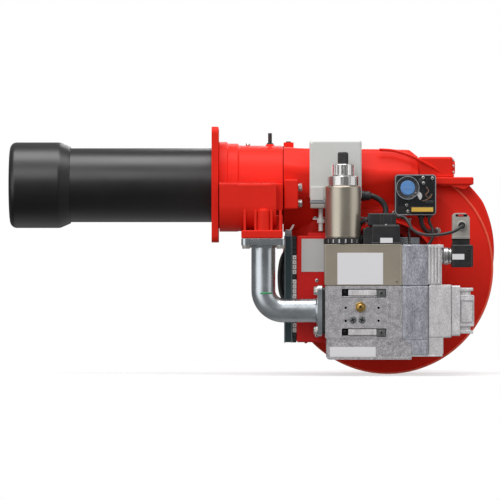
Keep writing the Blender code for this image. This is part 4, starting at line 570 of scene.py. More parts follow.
def make_combustion_head():
    rods = arc(0, 0, 34, 90, 210, 1)
    slots = [obround(y, z, 9, 4, 108 + 36 * i) for i, (y, z) in enumerate(arc(0, 0, 48.5, 108, 432, 9))]
    # Two of the twenty small holes give way to the rods
    small = [circle(1.6, 16, y, z) for i, (y, z) in enumerate(circle(29.5, 20)) if i not in (5, 12)]
    holes = [circle(21.3, 64), *slots, *small, *[circle(3.2, 24, y, z) for y, z in rods]]
    disc = [plate("X", circle(59, 128), holes, -320, -318.2),
            ring("X", 57.2, 59, -320, -315.5, count=128, soft=0.4),
            ring("X", 21.3, 25, -318.4, -306, soft=0.8)]

    def vane():
        return turned_about(block(-319, -312, -0.7, 0.7, 43.5, 53.5, 0.3, 2), "Z", 28, -319, -1.6)

    inner_piece("disc_skin", disc + spread(vane, 10, "X", 18), "steel", 0.25, 2, ["diffuser_disc"])
    profile = [(20, -346), (25, -342), (25, -326), (21, -325), (21, 116)]
    inner_piece("gas_tube_skin", spun("X", profile, count=72, soft=1.2), "steel", stand_for=["gas_tube"])
    # The jet holes as near-black discs on the gas tube and its tip: painted shade.
    jets = spread(lambda: spun("Z", [(2.9, 24.9), (2.6, 25.12)], (-334, 0), 24), 8, "X")
    jets += [spun("X", [(1.7, -345.8), (1.5, -346.12)], place, 20) for place in circle(12, 8)]
    inner_piece("gas_jets", jets, "dark")
    for name, (y, z), node in zip(("spark_rod", "probe_rod"), rods, ("ignition_electrode", "flame_probe")):
        glaze = spun("X", [(3, -301), (4.2, -297), (4.5, -290), (4.5, -205), (3.4, -203)], (y, z), 32, 0.5)
        inner_piece(name + "_glaze", glaze, "ceramic", stand_for=[node])
        wire = [(x, y, z) for x in (-200, -204, -300, -320, -329)] + [(-337, y * 0.95, z * 0.95)]
        inner_piece(name + "_wire", lead(wire, 1.2, 14, 6), "screw")
        inner_piece(name + "_collar", rod("X", 6.2, -262.6, -259.5, (y, z), 32, 0.6), "screw")
    keep("head_spider", "steel", 0.4)
    keep("gas_crossover", "cast", 0.6)


# Head housing and its flange


def make_flange():
    half_u, half_v = 58, 90
    angle = math.degrees(math.atan2(half_v, half_u))
    holes = [obround(a * half_u, b * half_v, 8, 11, a * b * angle) for a in (-1, 1) for b in (-1, 1)]
    shape = plate("X", rounded(-103, 103, -103, 103, 12, 10), [circle(66.6), *holes], 0, 12)
    piece("flange_skin", shape, "red", 1.4, 3, ["mounting_flange"])
    # A near-black ring on the flange face where its seal groove is: painted shade.
    piece("flange_groove_shade", ring("X", 68.5, 73, -0.2, 0.4, soft=0.2), "dark")


def chamber_outline(inset, rear_y):
    front, top, bottom = -166 + inset, 2.0 - inset, -83.7 + inset
    curve, edge = 46.0 - inset, 5.0
    return ([(rear_y, top)] + arc(front + edge, top - edge, edge, 90, 180, 6)
            + arc(front + curve, bottom + curve, curve, 180, 270, 20) + [(rear_y, bottom)])


def hinge_web(index, outline):
    """One of the four webs on the hinge pin, counted from the top."""
    top = 78 - index * WEB_PITCH
    return prism("Z", outline, top - 33.7, top)


def make_housing():
    steps = [(65, 12.3), (78, 12.3), (78, 27.5), (75, 28.5), (75, 47), (71.4, 48.5), (71, 127.5), (65, 127.5)]
    shapes = [turned("X", steps, count=144, soft=1.6), prism("X", chamber_outline(0.8, -20), 15.3, 113.5)]
    shapes += [prism("X", chamber_outline(0, -22), low, high) for low, high in ((14.3, 47), (104, 114.5))]
    shapes.append(block(53, 126, -174, -96, -96.2, -81.5, 2.5))
    boss = [(0, -96), (13.5, -96), (12, -60), (11, -46), (0, -40)]
    shapes.append(turned("Z", boss, (RISER[0], -160), 48, 3))
    shapes.append(block(100, 126.4, -142, -100, -95, -55, 2.5))
    rib = [(-171, -91), (-167.4, -46), (-135, -46), (-135, -91)]
    shapes += [prism("X", rib, RISER[0] + shift - 2, RISER[0] + shift + 2) for shift in (-33, -14, 14, 30)]
    shapes.append(block(112.5, 127.2, -104, -50, -46, 1.6, 2))
    web = [(104, 50), (127, 50), (127, 75)] + arc(*HINGE, 9, -90, 90, 20) + [(104, 68)]
    shapes += [hinge_web(index, web) for index in (1, 3)]
    shapes.append(spun("Z", [(10, 66), (7.5, 72.6), (6.5, 73.8)], STUD, 40, 1.0))
    piece("housing_skin", shapes, "red", 1.3, 3, ["head_housing"])
    seam = [Vector((x, -166.4, 2.2)) for x in (14.3, 40, 80, 114.4)]
    piece("housing_parting_line", swept(seam, 0.7, 10), "red")
    piece("joint_shadow", ring("X", 66, 70, 127.2, 128.8), "dark")
    screws("housing_top_screws", "Z", [(64.8, -4)], 71.2, 1, 4.2, 4.0)
    nuts = [nut("X", (CLAMP_Y, z), 112.3, -1, 13, 6, 4, 2.5) for z in CLAMP_Z]
    piece("clamp_nuts", nuts, "screw", 0.4, 2)
    profile = [(3.5, 21.3), (3.5, 71.3), (6, 71.3), (6, 75.3), (3.5, 76.3), (3.5, 93), (2.6, 94)]
    threads = [turned("Z", [(2.8, z), (3.72, z + 0.35), (2.8, z + 0.7)], STUD, 32)
               for z in [77 + 1.25 * i for i in range(12)]]
    inner_piece("stud_skin", [spun("Z", profile, STUD, 40, 0.4), *threads], "black", stand_for=["lock_stud"])
    pin = spun("Z", [(3.5, -58), (3.5, 78.3), (5.1, 78.3), (5.1, 80), (3.6, 81)], HINGE, 32, 0.5)
    piece("pin_skin", pin, "black", stand_for=["hinge_pin"])


# Gas train


def make_pipe():
    riser_plate = plate("Z", rounded_at(RISER, 39, 39, 8), [circle(21.4, 64, *RISER)], -108, -96.5)
    collar = turned("Z", [(21.4, -112.5), (25, -112.5), (27, -108.2), (21.4, -108.2)], RISER, 72, 0.8)
    piece("riser_flange_skin", [riser_plate, collar], "zinc", 0.9, 3, ["riser_flange"])
    bolts("riser_flange_bolts", "Z", corners_of(RISER, 30.5, 30.5), -108, -1, 13, 6.4, 8, 0.35)
    x, z, elbow = RISER[0], GAS_LINE[1], 36.0
    bend = [math.radians(90 * i / 24) for i in range(1, 25)]
    path = [Vector((x, GAS_Y, height)) for height in (-99.8, -130, -160, -187.7)]
    path += [Vector((x + elbow - elbow * math.cos(a), GAS_Y, z + elbow - elbow * math.sin(a))) for a in bend]
    path += [Vector((place, GAS_Y, z)) for place in (150, 170, 192.8)]
    piece("pipe_skin", swept(path, PIPE_R, 72), "zinc", stand_for=["gas_pipe"])
    weld = turned("X", [(21, 184.2), (23.4, 185.2), (24.6, 187.3), (21, 187.3)], GAS_LINE, 72, 0.6)
    piece("pipe_weld", weld, "zinc")
    smear = [Vector((x + 0.6 + PIPE_R * math.sin(a), GAS_Y - PIPE_R * math.cos(a),
                     -193.6 + 0.9 * math.cos(2.2 * a - 0.4))) for a in [0.07 * i - 0.28 for i in range(15)]]
    piece("thread_seal_bead", swept(smear, 1.5, 12), "green")
    flange = plate("X", rounded_at(GAS_LINE, 40, 45, 9), [circle(21.5, 64, *GAS_LINE)], 187.4, 195.3)
    piece("outlet_flange_skin", flange, "zinc", 1.0, 3, ["outlet_flange"])
    bolts("outlet_flange_bolts", "X", corners_of(GAS_LINE, 30, 35), 187.4, -1, 13, 6.4, 8, 0.35)
    seal = plate("X", rounded_at(GAS_LINE, 36, 41, 6), [circle(19.2, 64, *GAS_LINE)], 195.6, 200.6)
    piece("outlet_seal_skin", seal, "black", 0.6, 2, ["outlet_seal_plate"])


def make_valve():
    x0, x1, z0, z1, front, back = 201.0, 336.5, -272.7, -180.0, -171.0, -99.0
    ports = (-200.5, -270.2)
    gauges = [(x, z) for x in (237, 295) for z in (-218.4, -241.4)]
    core = block(x0 + 0.3, x1 - 0.3, front + 4.8, back, z0 + 0.3, z1 - 0.3, 2.5)
    holes = [rounded(230, 308.5, low, low + 15.5, 2, 4) for low in ports]
    holes += [circle(2.3, 24, x, z) for x, z in gauges]
    face = plate("Y", rounded(x0, x1, z0, z1, 2.5), holes, front, front + 6)
    piece("valve_body_skin", [core, face], "cast", 0.8, 3, ["valve_body"])
    # Near-black floors in the ports and gauge holes: painted shade in the recesses.
    floors = [block(229.5, 309, front + 4.6, front + 5.4, low - 0.5, low + 16) for low in ports]
    floors += [rod("Y", 2.4, front + 3.5, front + 4.5, place, 20) for place in gauges]
    piece("valve_port_floor_shade", floors, "dark")
    bars, clips = [], []
    for low in ports:
        bars.append(block(241.5, 291.5, front + 0.6, front + 4.9, low + 3.2, low + 14.2, 1.6))
        bars.append(block(230.6, 307.9, front + 3.2, front + 4.9, low + 0.8, low + 2.4, 0.5))
        clips.append(block(291.8, 307.8, front + 2.2, front + 4.9, low + 1, low + 14.6, 1.2))
    piece("valve_port_bars", bars, "cast_pale", 0.3, 2)
    piece("valve_port_clips", clips, "clip", 0.3, 2)
    screws("valve_port_screws", "Y", [(300, -192.7), (300, -262.4)], front + 2.2, -1, 5.2, 1.8, "clip")
    screws("valve_port_pins", "Y", [(235.5, -190), (235.5, -260)], front + 4.6, -1, 2.6, 1.8, "black")
    screws("valve_gauge_screws", "Y", [(249.7, -239.9), (265.6, -239.9)], front, -1, 6.4, 1.6, "clip")
    rim = plate("Y", rounded(309.8, 318.8, -243.5, -210, 1), [rounded(311, 317.6, -242.3, -211.2, 0.6)],
                front - 0.7, front + 0.5)
    piece("valve_panel_rim", rim, "cast", 0.2, 2)
    tap = (263, -216.9)
    stem = spun("Y", [(5.5, -174.8), (5.5, -178.5), (4.2, -179), (3.6, -182)], tap, 40, 0.5)
    nipple = [prism("Y", circle(9.8, 6, *tap, 0.4), -175, -171.3), stem]
    piece("test_nipple_skin", nipple, "brass", 0.6, 3, ["test_nipple"])
    # A near-black disc in the nipple's bore: painted shade.
    piece("test_nipple_bore_shade", rod("Y", 1.6, -182.1, -181.2, tap, 20), "dark")


def make_valve_base():
    outline = [(206.5, -309.8), (353, -309.8), (353, -280.8), (335.5, -273), (203.5, -273), (203.5, -306.8)]
    base = prism("Y", softened(outline, 2), -170, -100)
    outline = [(211, -309.8), (353, -309.8), (353, -305.5), (206.5, -305.5)]
    lip = prism("Y", softened(outline, 0.8), -170.8, -169)
    piece("valve_base_skin", [base, lip], "cast", 1.2, 3, ["valve_base"])
    piece("valve_base_label", block(209, 290, -170.9, -169.8, -305, -287.5, 0.4, 2), "label")
    marks = [spun("Y", [(r, -170.2), (r, -170.7), (r - 1.2, -170.7), (r - 1.4, -170.3)], (x, -297), 32)
             for x, r in ((325, 5.5), (301, 3.6))]
    piece("valve_base_marks", marks, "cast")


def make_terminal_box():
    front = -168.0
    shapes = [block(200, 336.5, front, -102, -179.7, -107, 2.2),
              block(334.2, 336.9, front - 0.5, -103, -178.5, -108, 0.8),
              block(201.5, 334, front - 0.4, -104, -109.2, -106.6, 0.8)]
    piece("terminal_box_skin", shapes, "beige", 0.4, 2, ["terminal_box"])
    piece("terminal_box_label", block(222.3, 303, front - 0.6, front + 0.4, -177.5, -121.5, 0.35, 2), "label")
    screws("terminal_box_screws", "Y", [(327, -171.5)], front, -1, 2.6, 1.0, "beige")


def make_coil():
    x = COIL[0]
    teeth = spread(lambda: gas_block(x + 29, x + 34.2, -4.3, 4.3, -106.4, -96, 0.8, 2), 18, "Z", 7, COIL)
    base = ring("Z", 14.3, 31, -106.7, -95.7, COIL, 96, 0.6)
    piece("coil_ring_skin", [base, *teeth], "black", stand_for=["coil_ring"])
    profile = [(14.3, -95.4), (31.2, -95.4), (31.7, -92.5), (31.7, -5.6), (30.2, -3.2), (14.3, -3.2)]
    piece("coil_skin", turned("Z", profile, COIL, 128, 0.8), "beige_coil", stand_for=["solenoid_coil"])
    hoops = [turned("Z", [(31.5, z), (31.95, z + 0.3), (31.95, z + 1.0), (31.5, z + 1.3)], COIL, 128)
             for z in (-93, -7.6)]
    piece("coil_hoops", hoops, "beige_coil")
    piece("coil_ring_band", ring("Z", 28, 32.6, -104.4, -97.6, COIL, 96, 0.4), "foil")
    crown = spread(lambda: gas_block(x + 21, x + 26.8, -5.2, 5.2, -2.6, 13.6, 0.9, 2), 12, "Z", 10, COIL)
    profile = [(14.3, -2.9), (25.4, -2.9), (25.4, 13), (24.2, 14.2), (14.3, 14.2)]
    piece("coil_nut_skin", [turned("Z", profile, COIL, 96, 0.7), *crown], "machined", stand_for=["coil_nut"])
    piece("core_skin", rod("Z", 14, -179, 13.9, COIL, 64, 0.5), "steel", stand_for=["core_tube"])


def make_knob():
    x, y = COIL
    flutes, ribs = 14, 28
    outline = []
    for i in range(flutes * 8):
        a = TURN * i / (flutes * 8)
        wave = 0.5 + 0.5 * math.cos(flutes * a)
        r = 17.9 + 2.3 * min(1, wave * 1.9)
        outline.append((x + r * math.cos(a), y + r * math.sin(a)))
    knob = [prism("Z", outline, 16, 34.2), spun("Z", [(19, 14.5), (19.6, 16.4)], COIL, 72, 0.3),
            spun("Z", [(17.4, 34), (16.6, 35.2)], COIL, 72, 0.3)]
    piece("knob_skin", knob, "machined", 0.5, 2, ["flow_knob"], body="knob")
    outline = []
    for i in range(2 * ribs):
        a, r = TURN * i / (2 * ribs), 9.6 if i % 2 else 8.9
        outline.append((x + r * math.cos(a), y + r * math.sin(a)))
    cap = [prism("Z", outline, 36.4, 53.6), rod("Z", 9.2, 35.5, 37, COIL, 48, 0.3),
           spun("Z", [(9.3, 53), (9.0, 55.4), (6.6, 56.8)], COIL, 48, 0.8)]
    piece("knob_cap_skin", cap, "black", 0.25, 2, ["knob_cap"], body="knob")
    keep("valve_plunger", "steel", 0.4)


def make_coil_plug():
    low = -106.7
    shapes = [gas_block(268.2, 287.5, -24, 12, low, low + 28.5, 1.5),
              rod("Y", 7, GAS_Y - 25, GAS_Y - 20, (277, low + 24), 40, 0.8),
              gas_block(283.2, 333, -28, 22, low, low + 33.5, 2),
              gas_block(282.4, 333.4, -28.6, 22.4, low, low + 3.2, 0.7, 2),
              gas_block(285, 331.5, -27, 21, low + 33, low + 34.6, 0.7, 2),
              gas_block(276.2, 326.5, -22, -2, low + 32.5, low + 55, 2.5)]
    shapes += [gas_block(x, x + 3, -22.8, -1.2, low + 34, low + 54, 0.8, 2) for x in (298, 304, 310, 316)]
    piece("coil_plug_skin", shapes, "black", 0.5, 2, ["coil_plug"])
    piece("coil_plug_label", gas_block(298, 320, -28.9, -27.8, low + 2.5, low + 11.5, 0.3, 2), "label")
    screws("coil_plug_screw", "Z", [(308, GAS_Y - 24.5)], low + 34.2, 1, 2.4, 1.2)
    route = [(279, -147, -62), (272, -146, -64), (264, -138, -70), (262, -124, -78), (263, -112, -92),
             (266, -109, -106)]
    piece("coil_lead", lead(route, 3.2), "lead")


def make_filter():
    front, back = -171.0, -100.0
    outline = [(353.4, -301.2), (382, -301.2), (382, -273), (336.8, -273), (336.8, -274.2), (353.4, -282)]
    shapes = [block(336.8, 382, front, back, -179.6, -107, 1.8),
              block(336.8, 382, front - 0.6, back, -275, -180.2, 1.8),
              prism("Y", softened(outline, 0.8), front + 0.4, back - 1),
              block(341, 352, front - 1.5, front + 1, -178, -108.5, 1.2),
              block(341, 352, front - 2.0, front + 1, -270, -182, 1.2)]
    piece("filter_skin", shapes, "cast_blue", 0.7, 3, ["filter_housing"])
    shapes = [block(381, 406.5, front + 5, back - 4, -178, -107, 1.2)]
    shapes += [block(382.5 + 5.8 * i, 386.3 + 5.8 * i, front + 1.2, front + 7, -176.5, -108.2, 1.2)
               for i in range(4)]
    shapes.append(block(381, 409.5, front + 1.6, back - 4, -113, -107.2, 1.0))
    piece("ridged_cover", shapes, "cast_pale", 0.4, 2)
    port = (GAS_Y, -127.2)
    profile = [(14, 402), (14, 410), (16, 411), (16, 419), (14.8, 420.5), (14.8, 424.4)]
    lines = [turned("X", [(15.8, x), (16.5, x + 0.5), (16.5, x + 1.2), (15.8, x + 1.7)], port, 64)
             for x in (412.5, 416)]
    piece("switch_adaptor", [spun("X", profile, port, 64, 0.8), *lines], "machined")
    shapes = [block(382.3, 424, front + 3, back - 2, -271.4, -178.6, 3.2),
              block(382.3, 409.3, front + 5, back - 4, -301.2, -266, 2),
              block(385, 424, front + 3.2, back - 3, -182.5, -177.9, 1.2),
              block(384.3, 387.6, front + 2.2, front + 6, -268, -181, 1.2)]
    piece("inlet_block_skin", shapes, "cast_pale", 0.7, 3, ["inlet_block"])
    piece("foot_strip", block(344, 408, front + 2, back - 6, -304.6, -301.0, 1.2, 2), "cast_pale")


def make_inlet_flange():
    x0, x1 = 424.3, 463.3
    z = GAS_LINE[1]
    shapes = [plate("X", rounded_at(GAS_LINE, 38, 44.3, 3), [circle(19.6, 64, *GAS_LINE)], x0, x0 + 14),
              plate("X", rounded_at(GAS_LINE, 34, 26.5, 5), [circle(19.45, 64, *GAS_LINE)], x0 + 12, x1)]
    for side in (-1, 1):
        for shift, half_y, half_z, short, r in ((37.5, 34, 2.8, 1.5, 1.2), (31.4, 29, 3.6, 6, 1.0),
                                                (25.5, 34, 2.2, 0.6, 1.0)):
            low, high = z + side * shift - half_z, z + side * shift + half_z
            shapes.append(gas_block(x0 + 12, x1 - short, -half_y, half_y, low, high, r))
    shapes.append(gas_block(x0 + 12, x1 - 9, -30, -19.7, z - 38, z + 38, 1))
    piece("inlet_flange_skin", shapes, "cast_pale", 0.8, 3, ["inlet_flange"])
    rim = plate("Y", rounded(439, 461.8, -244, -204.5, 1.5), [rounded(441, 459.8, -242, -206.5, 1)],
                GAS_Y - 35.2, GAS_Y - 33.6)
    piece("inlet_window_rim", rim, "cast", 0.3, 2)
    thread = [turned("X", [(19.7, x), (18.6, x + 1.15), (19.7, x + 2.3)], GAS_LINE, 64)
              for x in [440 + 2.31 * i for i in range(9)]]
    piece("inlet_thread", thread, "cast")
    places = [(GAS_Y + 32, z + side * 37) for side in (-1, 1)]
    bolts("inlet_flange_bolts", "X", places, x0 + 14, 1, 8.5, 4.5, 4.8)


def make_gas_switch():
    shapes = [gas_block(424.7, 459.5, -25, 25, -147.3, -107, 3),
              gas_block(458.5, 462.1, -24, 24, -146.3, -108, 1.4),
              gas_block(426, 461.4, -25.6, 25.4, -112, -108.5, 0.8),
              gas_block(426.2, 456.6, -15, 15, -109, -97.6, 1.2)]
    piece("gas_switch_skin", shapes, "black", 0.4, 2, ["gas_pressure_switch"])
    piece("gas_switch_label", gas_block(425.2, 446.6, -25.6, -24.6, -133.5, -123.6, 0.3, 2), "label")
    screws("gas_switch_screws", "Y", [(454.5, -141.5), (454.5, -116.5)], GAS_Y - 25, -1, 2.4, 1.2, "black")


def make_gas_switch_plug():
    low, high, x0, x1 = -97.3, -51.4, 426.2, 456.6
    exit_place = (442.2, -73.3)
    outline = [(x0, low), (x1, low), (x1, high - 8), (x1 - 7, high), (x0 + 4, high), (x0, high - 4)]
    body = prism("Y", softened(outline, 1.6), GAS_Y - 15, GAS_Y + 15)
    skirt = gas_block(x0 - 0.3, x1 + 0.3, -15.6, 15.6, low, low + 5.5, 1.2)
    profile = [(r, GAS_Y - y) for r, y in ((8.6, 12), (8.6, 19.5), (7.6, 23), (4.2, 23), (4.0, 20))]
    gland = spun("Y", profile, exit_place, 48, 0.8)
    piece("plug_skin", [body, skirt, gland], "plug", 0.7, 3, ["din_connector"])
    # Near-black blocks in the plug's top recess: painted shade.
    recess = [gas_block(x0 + 5, x1 - 4, -15.3, -12, high - 6.6, high - 1.8, 1.0, 2),
              gas_block(x0 + 8, x1 - 9, -14, 14, high - 2, high + 0.25, 0.8, 2)]
    piece("plug_recess", recess, "dark")
    tab = gas_block(x0 + 9.5, x1 - 11, -16, -14, high - 6.0, high - 2.6, 0.8, 2)
    piece("plug_tab", tab, "signal_red")
    profile = [(r, GAS_Y - y) for r, y in ((2.9, 22.6), (6.3, 22.6), (6.0, 24), (2.9, 24))]
    piece("plug_gland_seal", turned("Y", profile, exit_place, 40, 0.4), "lead")
    piece("plug_base_gasket", gas_block(x0 - 0.6, x1 + 0.6, -16, 16, low - 1.0, low + 0.4, 0.4, 2), "dark")
    y = GAS_Y - 12
    route = [(327.4, y, -58), (338, y, -58), (344, y - 7, -62), (350, y - 13, -71), (354, y - 17, -79),
             (364, y - 20, -86), (380, y - 24, -90), (402, y - 28, -89.5), (421, y - 30, -86),
             (433, y - 30, -81), (442.2, GAS_Y - 37, -74.3), (442.2, GAS_Y - 23.9, -73.3)]
    piece("gas_switch_lead_skin", lead(route, 2.75), "lead", stand_for=["gas_switch_lead"])


# Fan unit

# The duct's sections: place on X, top, shoulder, ridge, ridge top, ridge low, bottom and foot
DUCT = ((128.5, 68.0, 36, 71, 32, -32, -84.0, 30), (160.0, 66.0, 36, 63, 27, -20, -84.0, 26),
        (300.0, 64.5, 32, 58, 22, 8, -60.0, 24), (354.0, 63.5, 28, 53, 21, 10, -55.0, 24),
        (370.0, 51.0, 26, 49, 20, 12, -50.0, 22))


def duct_outline(x):
    """The duct's section at a place along X, between the design's own sections."""
    near, far = [pair for pair in zip(DUCT, DUCT[1:]) if pair[0][0] <= x <= pair[1][0]][0]
    t = (x - near[0]) / (far[0] - near[0])
    top, shoulder, ridge, ridge_top, ridge_low, bottom, foot = [a + (b - a) * t
                                                                 for a, b in zip(near[1:], far[1:])]
    points = [(-shoulder, top), (-ridge, ridge_top), (-ridge, ridge_low), (-foot, bottom),
              (foot, bottom), (ridge, ridge_low), (ridge, ridge_top), (shoulder, top)]
    return softened(points, 9, 5)


def scroll_outline():
    top, tongue, growth_end, count = math.radians(46), math.radians(-200), math.radians(35), 120
    points = []
    for i in range(count + 1):
        a = top + (tongue - top) * i / count
        r = 189 + 20 * min(max(a / growth_end, 0), 1)
        points.append((FAN[0] + r * math.cos(a), FAN[1] + r * math.sin(a)))
    return points + [(157.5, 3), (438.5, 3)]


def make_casing():
    start, end = 128.5, 354
    places = [start + (end - start) * i / 24 for i in range(25)] + [358, 362, 366, 370]
    duct = loft("X", [(x, duct_outline(x)) for x in places])
    fan_piece("duct_skin", duct, "red", 1.0, 3, ["fan_casing"], smooth=50)
    fan_piece("scroll_skin", prism("Y", scroll_outline(), -22, 62), "red", 5.0, 4)
    profile = [(98, -35), (154, -35), (158, -34.4), (188.5, -24), (188.5, -19), (98, -19)]
    fan_piece("scroll_front", turned("Y", profile, FAN, 192, 1.6), "red")
    profile = [(186.2, -25.8), (188.4, -27.2), (190.0, -25.6), (190.0, -20), (186.2, -20)]
    # The seam bead in the paler red: painted highlight.
    fan_piece("scroll_seam", turned("Y", profile, FAN, 192, 0.7), "red_edge")
    fan_piece("scroll_inlet_bead", ring("Y", 98, 102.5, -35.2, -34.6, FAN, 144, 0.2), "red")


def make_casing_fittings():
    shoulder = [(300, -46, 63), (326, -44, 61), (350, -46, 54), (372, -44, 44), (398, -40, 30),
                (424, -34, 13)]
    under = [(405, 1), (440, 1), (466, 1), (452, -8), (428, -1.5), (412, -1.5)]
    cheek = [(128.6, -66), (150, -66), (162, -56), (128.6, -54)]
    gusset = [(370, 14), (392, 14), (384, 34), (371, 46)]
    webs = [hinge_web(index, [(129.4, inner), (147.4, inner)] + arc(*HINGE, 9, 0, 180, 20))
            for index, inner in ((0, 40), (2, 55))]
    shapes = [lead(shoulder, 2.6, 16, 8), block(364, 468.5, -50, 50, 0, 14, 3),
              prism("Y", softened(under, 1.5), -46, 46), block(129, 154, -104, -64, -44, 9, 3),
              prism("Z", softened(cheek, 2), -42, 6), *webs, prism("Y", softened(gusset, 2), -30, 30)]
    fan_piece("casing_fittings", shapes, "red", 1.2, 3)
    heads = [hex_bolt("X", (CLAMP_Y, z), 154.3, 1, 13, 7, 6.6, 0.2 + z) for z in CLAMP_Z]
    fan_piece("clamp_bolts_skin", heads, "screw", 0.4, 2, ["clamp_bolt_1", "clamp_bolt_2"])


def make_cover():
    sight = (0, 32)
    shapes = [block(369, 432, -40, 40, 15, 50.5, 5, 5), block(371, 434, -42, 42, 14.4, 18.2, 1.2),
              turned("X", [(9, 431), (13, 431), (13, 435), (11.5, 437), (9.2, 437)], sight, 64, 0.6)]
    fan_piece("cover_skin", shapes, "red", 0.5, 2, ["rear_cover"])
    glass = turned("X", [(0, 432), (8.8, 432), (8.8, 435), (0, 435.4)], sight, 48, 0.3)
    fan_piece("sight_glass_skin", glass, "clear", stand_for=["sight_glass"])
    places = [(-32, 44), (-32, 33), (-32, 22), (32, 44), (32, 22)]
    fan_screws("cover_screws", "X", places, 432, 1, 3.4, 2.6)


def make_motor():
    profile = [(12.5, 58), (117.7, 58), (117.7, 62.3), (127, 62.3), (127, 67.2), (124, 68.3), (12.5, 68.3)]
    fan_piece("motor_plate_skin", turned("Y", profile, FAN, 144, 0.8), "red", stand_for=["motor_plate"])
    fan_bolts("motor_plate_bolts", "Y", circle(120, 8, *FAN, 0.2), 68.3, 1, 8, 4.2, 5)
    profile = [(10.5, 68.6), (64, 68.6), (66, 72), (66, 82), (61, 84), (61, 224), (66, 226), (66, 234),
               (64, 236), (10.5, 236)]
    shapes = [turned("Y", profile, FAN, 128, 1.2), *spokes(36, 4, FAN, 58, 65.6, 84, 225, 1.1, 0.8),
              block(281, 349, 102.6, 169.6, -95, -75, 2), block(275, 355, 98.6, 173.6, -78, -47, 5),
              block(273.8, 356.2, 97.4, 174.8, -53, -43, 4)]
    fan_piece("motor_skin", shapes, "motor", 0.5, 2, ["fan_motor"])
    fan_screws("motor_box_screws", "Z", corners_of((315, 136), 34, 32), -43, 1, 3.2, 1.8)
    gland = spun("X", [(11, 355), (11, 361), (9, 362), (9, 369), (7, 371)], (136, -64), 40, 0.8)
    fan_piece("motor_gland", gland, "black")
    foil = turned_about(spoke(FAN, 59, 66.3, 120, 190, 17, 1), "Y", 180, FAN[0], 0, FAN[1])
    fan_piece("motor_plate_foil", foil, "foil")


def make_cowl():
    profile = [(64.5, 236.3), (67, 236.3), (67, 240), (65.5, 262), (62, 269.5), (57, 272), (54, 272),
               (54, 270), (60, 267), (63, 261)]
    hoops = [ring("Y", r, r + 2.4, 269.4, 271.6, FAN, 96, 0.5) for r in (12, 21, 30, 39, 48)]
    shapes = [turned("Y", profile, FAN, 128, 0.8), *hoops,
              *spokes(8, 12, FAN, 10, 57, 268.4, 270.4, 1.5, 0.5), rod("Y", 13, 268, 271.8, FAN, 64, 0.8)]
    fan_piece("cowl_skin", shapes, "black", 0.2, 2, ["motor_cowl"])
    shapes = [rod("Y", 62, 238, 240, FAN, 96, 0.4), *spokes(6, 6, FAN, 16, 58, 240, 262, 1.2, 0.5)]
    fan_piece("cooling_fan", shapes, "dark", 0.2, 2)
    keep("fan_wheel", "zinc", 0.0)
    keep("motor_shaft", "steel", 0.3)


def make_intake():
    profile = [(63, -23.3), (63, -36), (65, -39.3), (103.5, -39.3), (106, -38), (106, -35.3), (66, -35.3),
               (66, -23.3)]
    throat = [(81, -37.8), (81, -78.6), (82, -80), (85, -80), (86, -78.6), (86, -37.8)]
    bead = [(85.8, -77.5), (87.4, -76.7), (87.4, -74.3), (85.8, -73.5)]
    shapes = [turned("Y", profile, FAN, 144, 0.8), turned("Y", throat, FAN, 160, 0.5),
              turned("Y", bead, FAN, 160, 0.4), ring("Z", 3.4, 6.2, -66.5, -63.4, (FAN[0], -59), 32, 0.4)]
    fan_piece("intake_skin", shapes, "red", stand_for=["air_intake"])
    fan_bolts("intake_bolts", "Y", circle(99, 6, *FAN, 0.4), -39.3, -1, 7.5, 3.6, 4.6)
    for i in (1, 2, 3):
        keep(f"damper_blade_{i}", "zinc")
    keep("tie_bar", "zinc")


def make_servo():
    x0, x1, y0, y1, z1 = 174.5, 267.0, -99.0, -66.0, 79.0
    bump = [(x0 + 1, y0 + 8), (x0 + 1, y0 - 1), (x0 + 5, y0 - 2.5), (x0 + 24, y0 - 2.5),
            (x0 + 26.5, y0 - 0.5), (x0 + 26.5, y0 + 8)]
    shapes = [block(x0, x1, y0, y1, -27, z1, 5, 6),
              block(x0 + 0.2, x0 + 8, y0 - 0.5, y0 + 5, -25, z1 - 4, 2.4),
              prism("Z", softened(bump, 2), -28, -4.5), block(x0 + 4, x0 + 28, y1 - 2, y1 + 3.3, -8, 22, 1)]
    fan_piece("servo_cover", shapes, "grey", 0.6, 2, ["servo_motor"])
    fan_piece("servo_band", block(x0 + 0.6, x1 - 0.6, y0 - 2.2, y1, -35, -27.6, 2.5), "grey_mid")
    shapes = [block(x0 + 2, x1 - 1.5, y0 + 2, y1, -37.5, -32.5, 2.5),
              block(x0 + 1.5, x0 + 27, y0 - 2, y1 - 4, -42.5, -34.5, 1.6)]
    fan_piece("servo_base", shapes, "plug")
    fan_screws("servo_screws", "Y", [(x1 - 10, -17)], y0, -1, 2.6, 0.9, "grey_mid")


def make_servo_lever():
    x, y = shaft = (194.5, -80)
    tip = (x - 9.9, y + 9.9)
    lever = obround((x + tip[0]) / 2, (y + tip[1]) / 2, 14, 9, 135)
    shapes = [rod("Z", 4, -83, -23.6, shaft, 40, 0.5), prism("Z", lever, -62.5, -60),
              rod("Z", 6.8, -68.5, -62, shaft, 40, 0.6),
              turned("Z", [(0, -62), (1.6, -62), (1.6, -56.8), (0, -56.6)], tip, 20, 0.3)]
    piece("servo_lever_skin", shapes, "white", 0.3, 2, ["servo_lever"], body="servo_arm")
    exit_place = (-84, -20)
    gland = spun("X", [(9.5, 266.5), (9.5, 271), (8, 272), (8, 281), (6.3, 284)], exit_place, 40, 0.6)
    rings = [turned("X", [(7.6, x), (8.8, x + 0.5), (8.8, x + 1.6), (7.6, x + 2.1)], exit_place, 40)
             for x in (273, 276, 279)]
    fan_piece("servo_gland", [gland, *rings], "black")
    route = [(268.2, -84, -20), (284, -84, -20), (302, -84, -29), (310, -85, -44), (306, -88, -62),
             (290, -90, -82), (262, -90, -98), (240, -88, -106), (228, -83, -106)]
    fan_piece("servo_lead_skin", lead(route, 5.0), "lead", stand_for=["servo_lead"])


SWITCH_BOX = (326.0, 400.0, -55.0, 18.0, -92.0, -62.0)


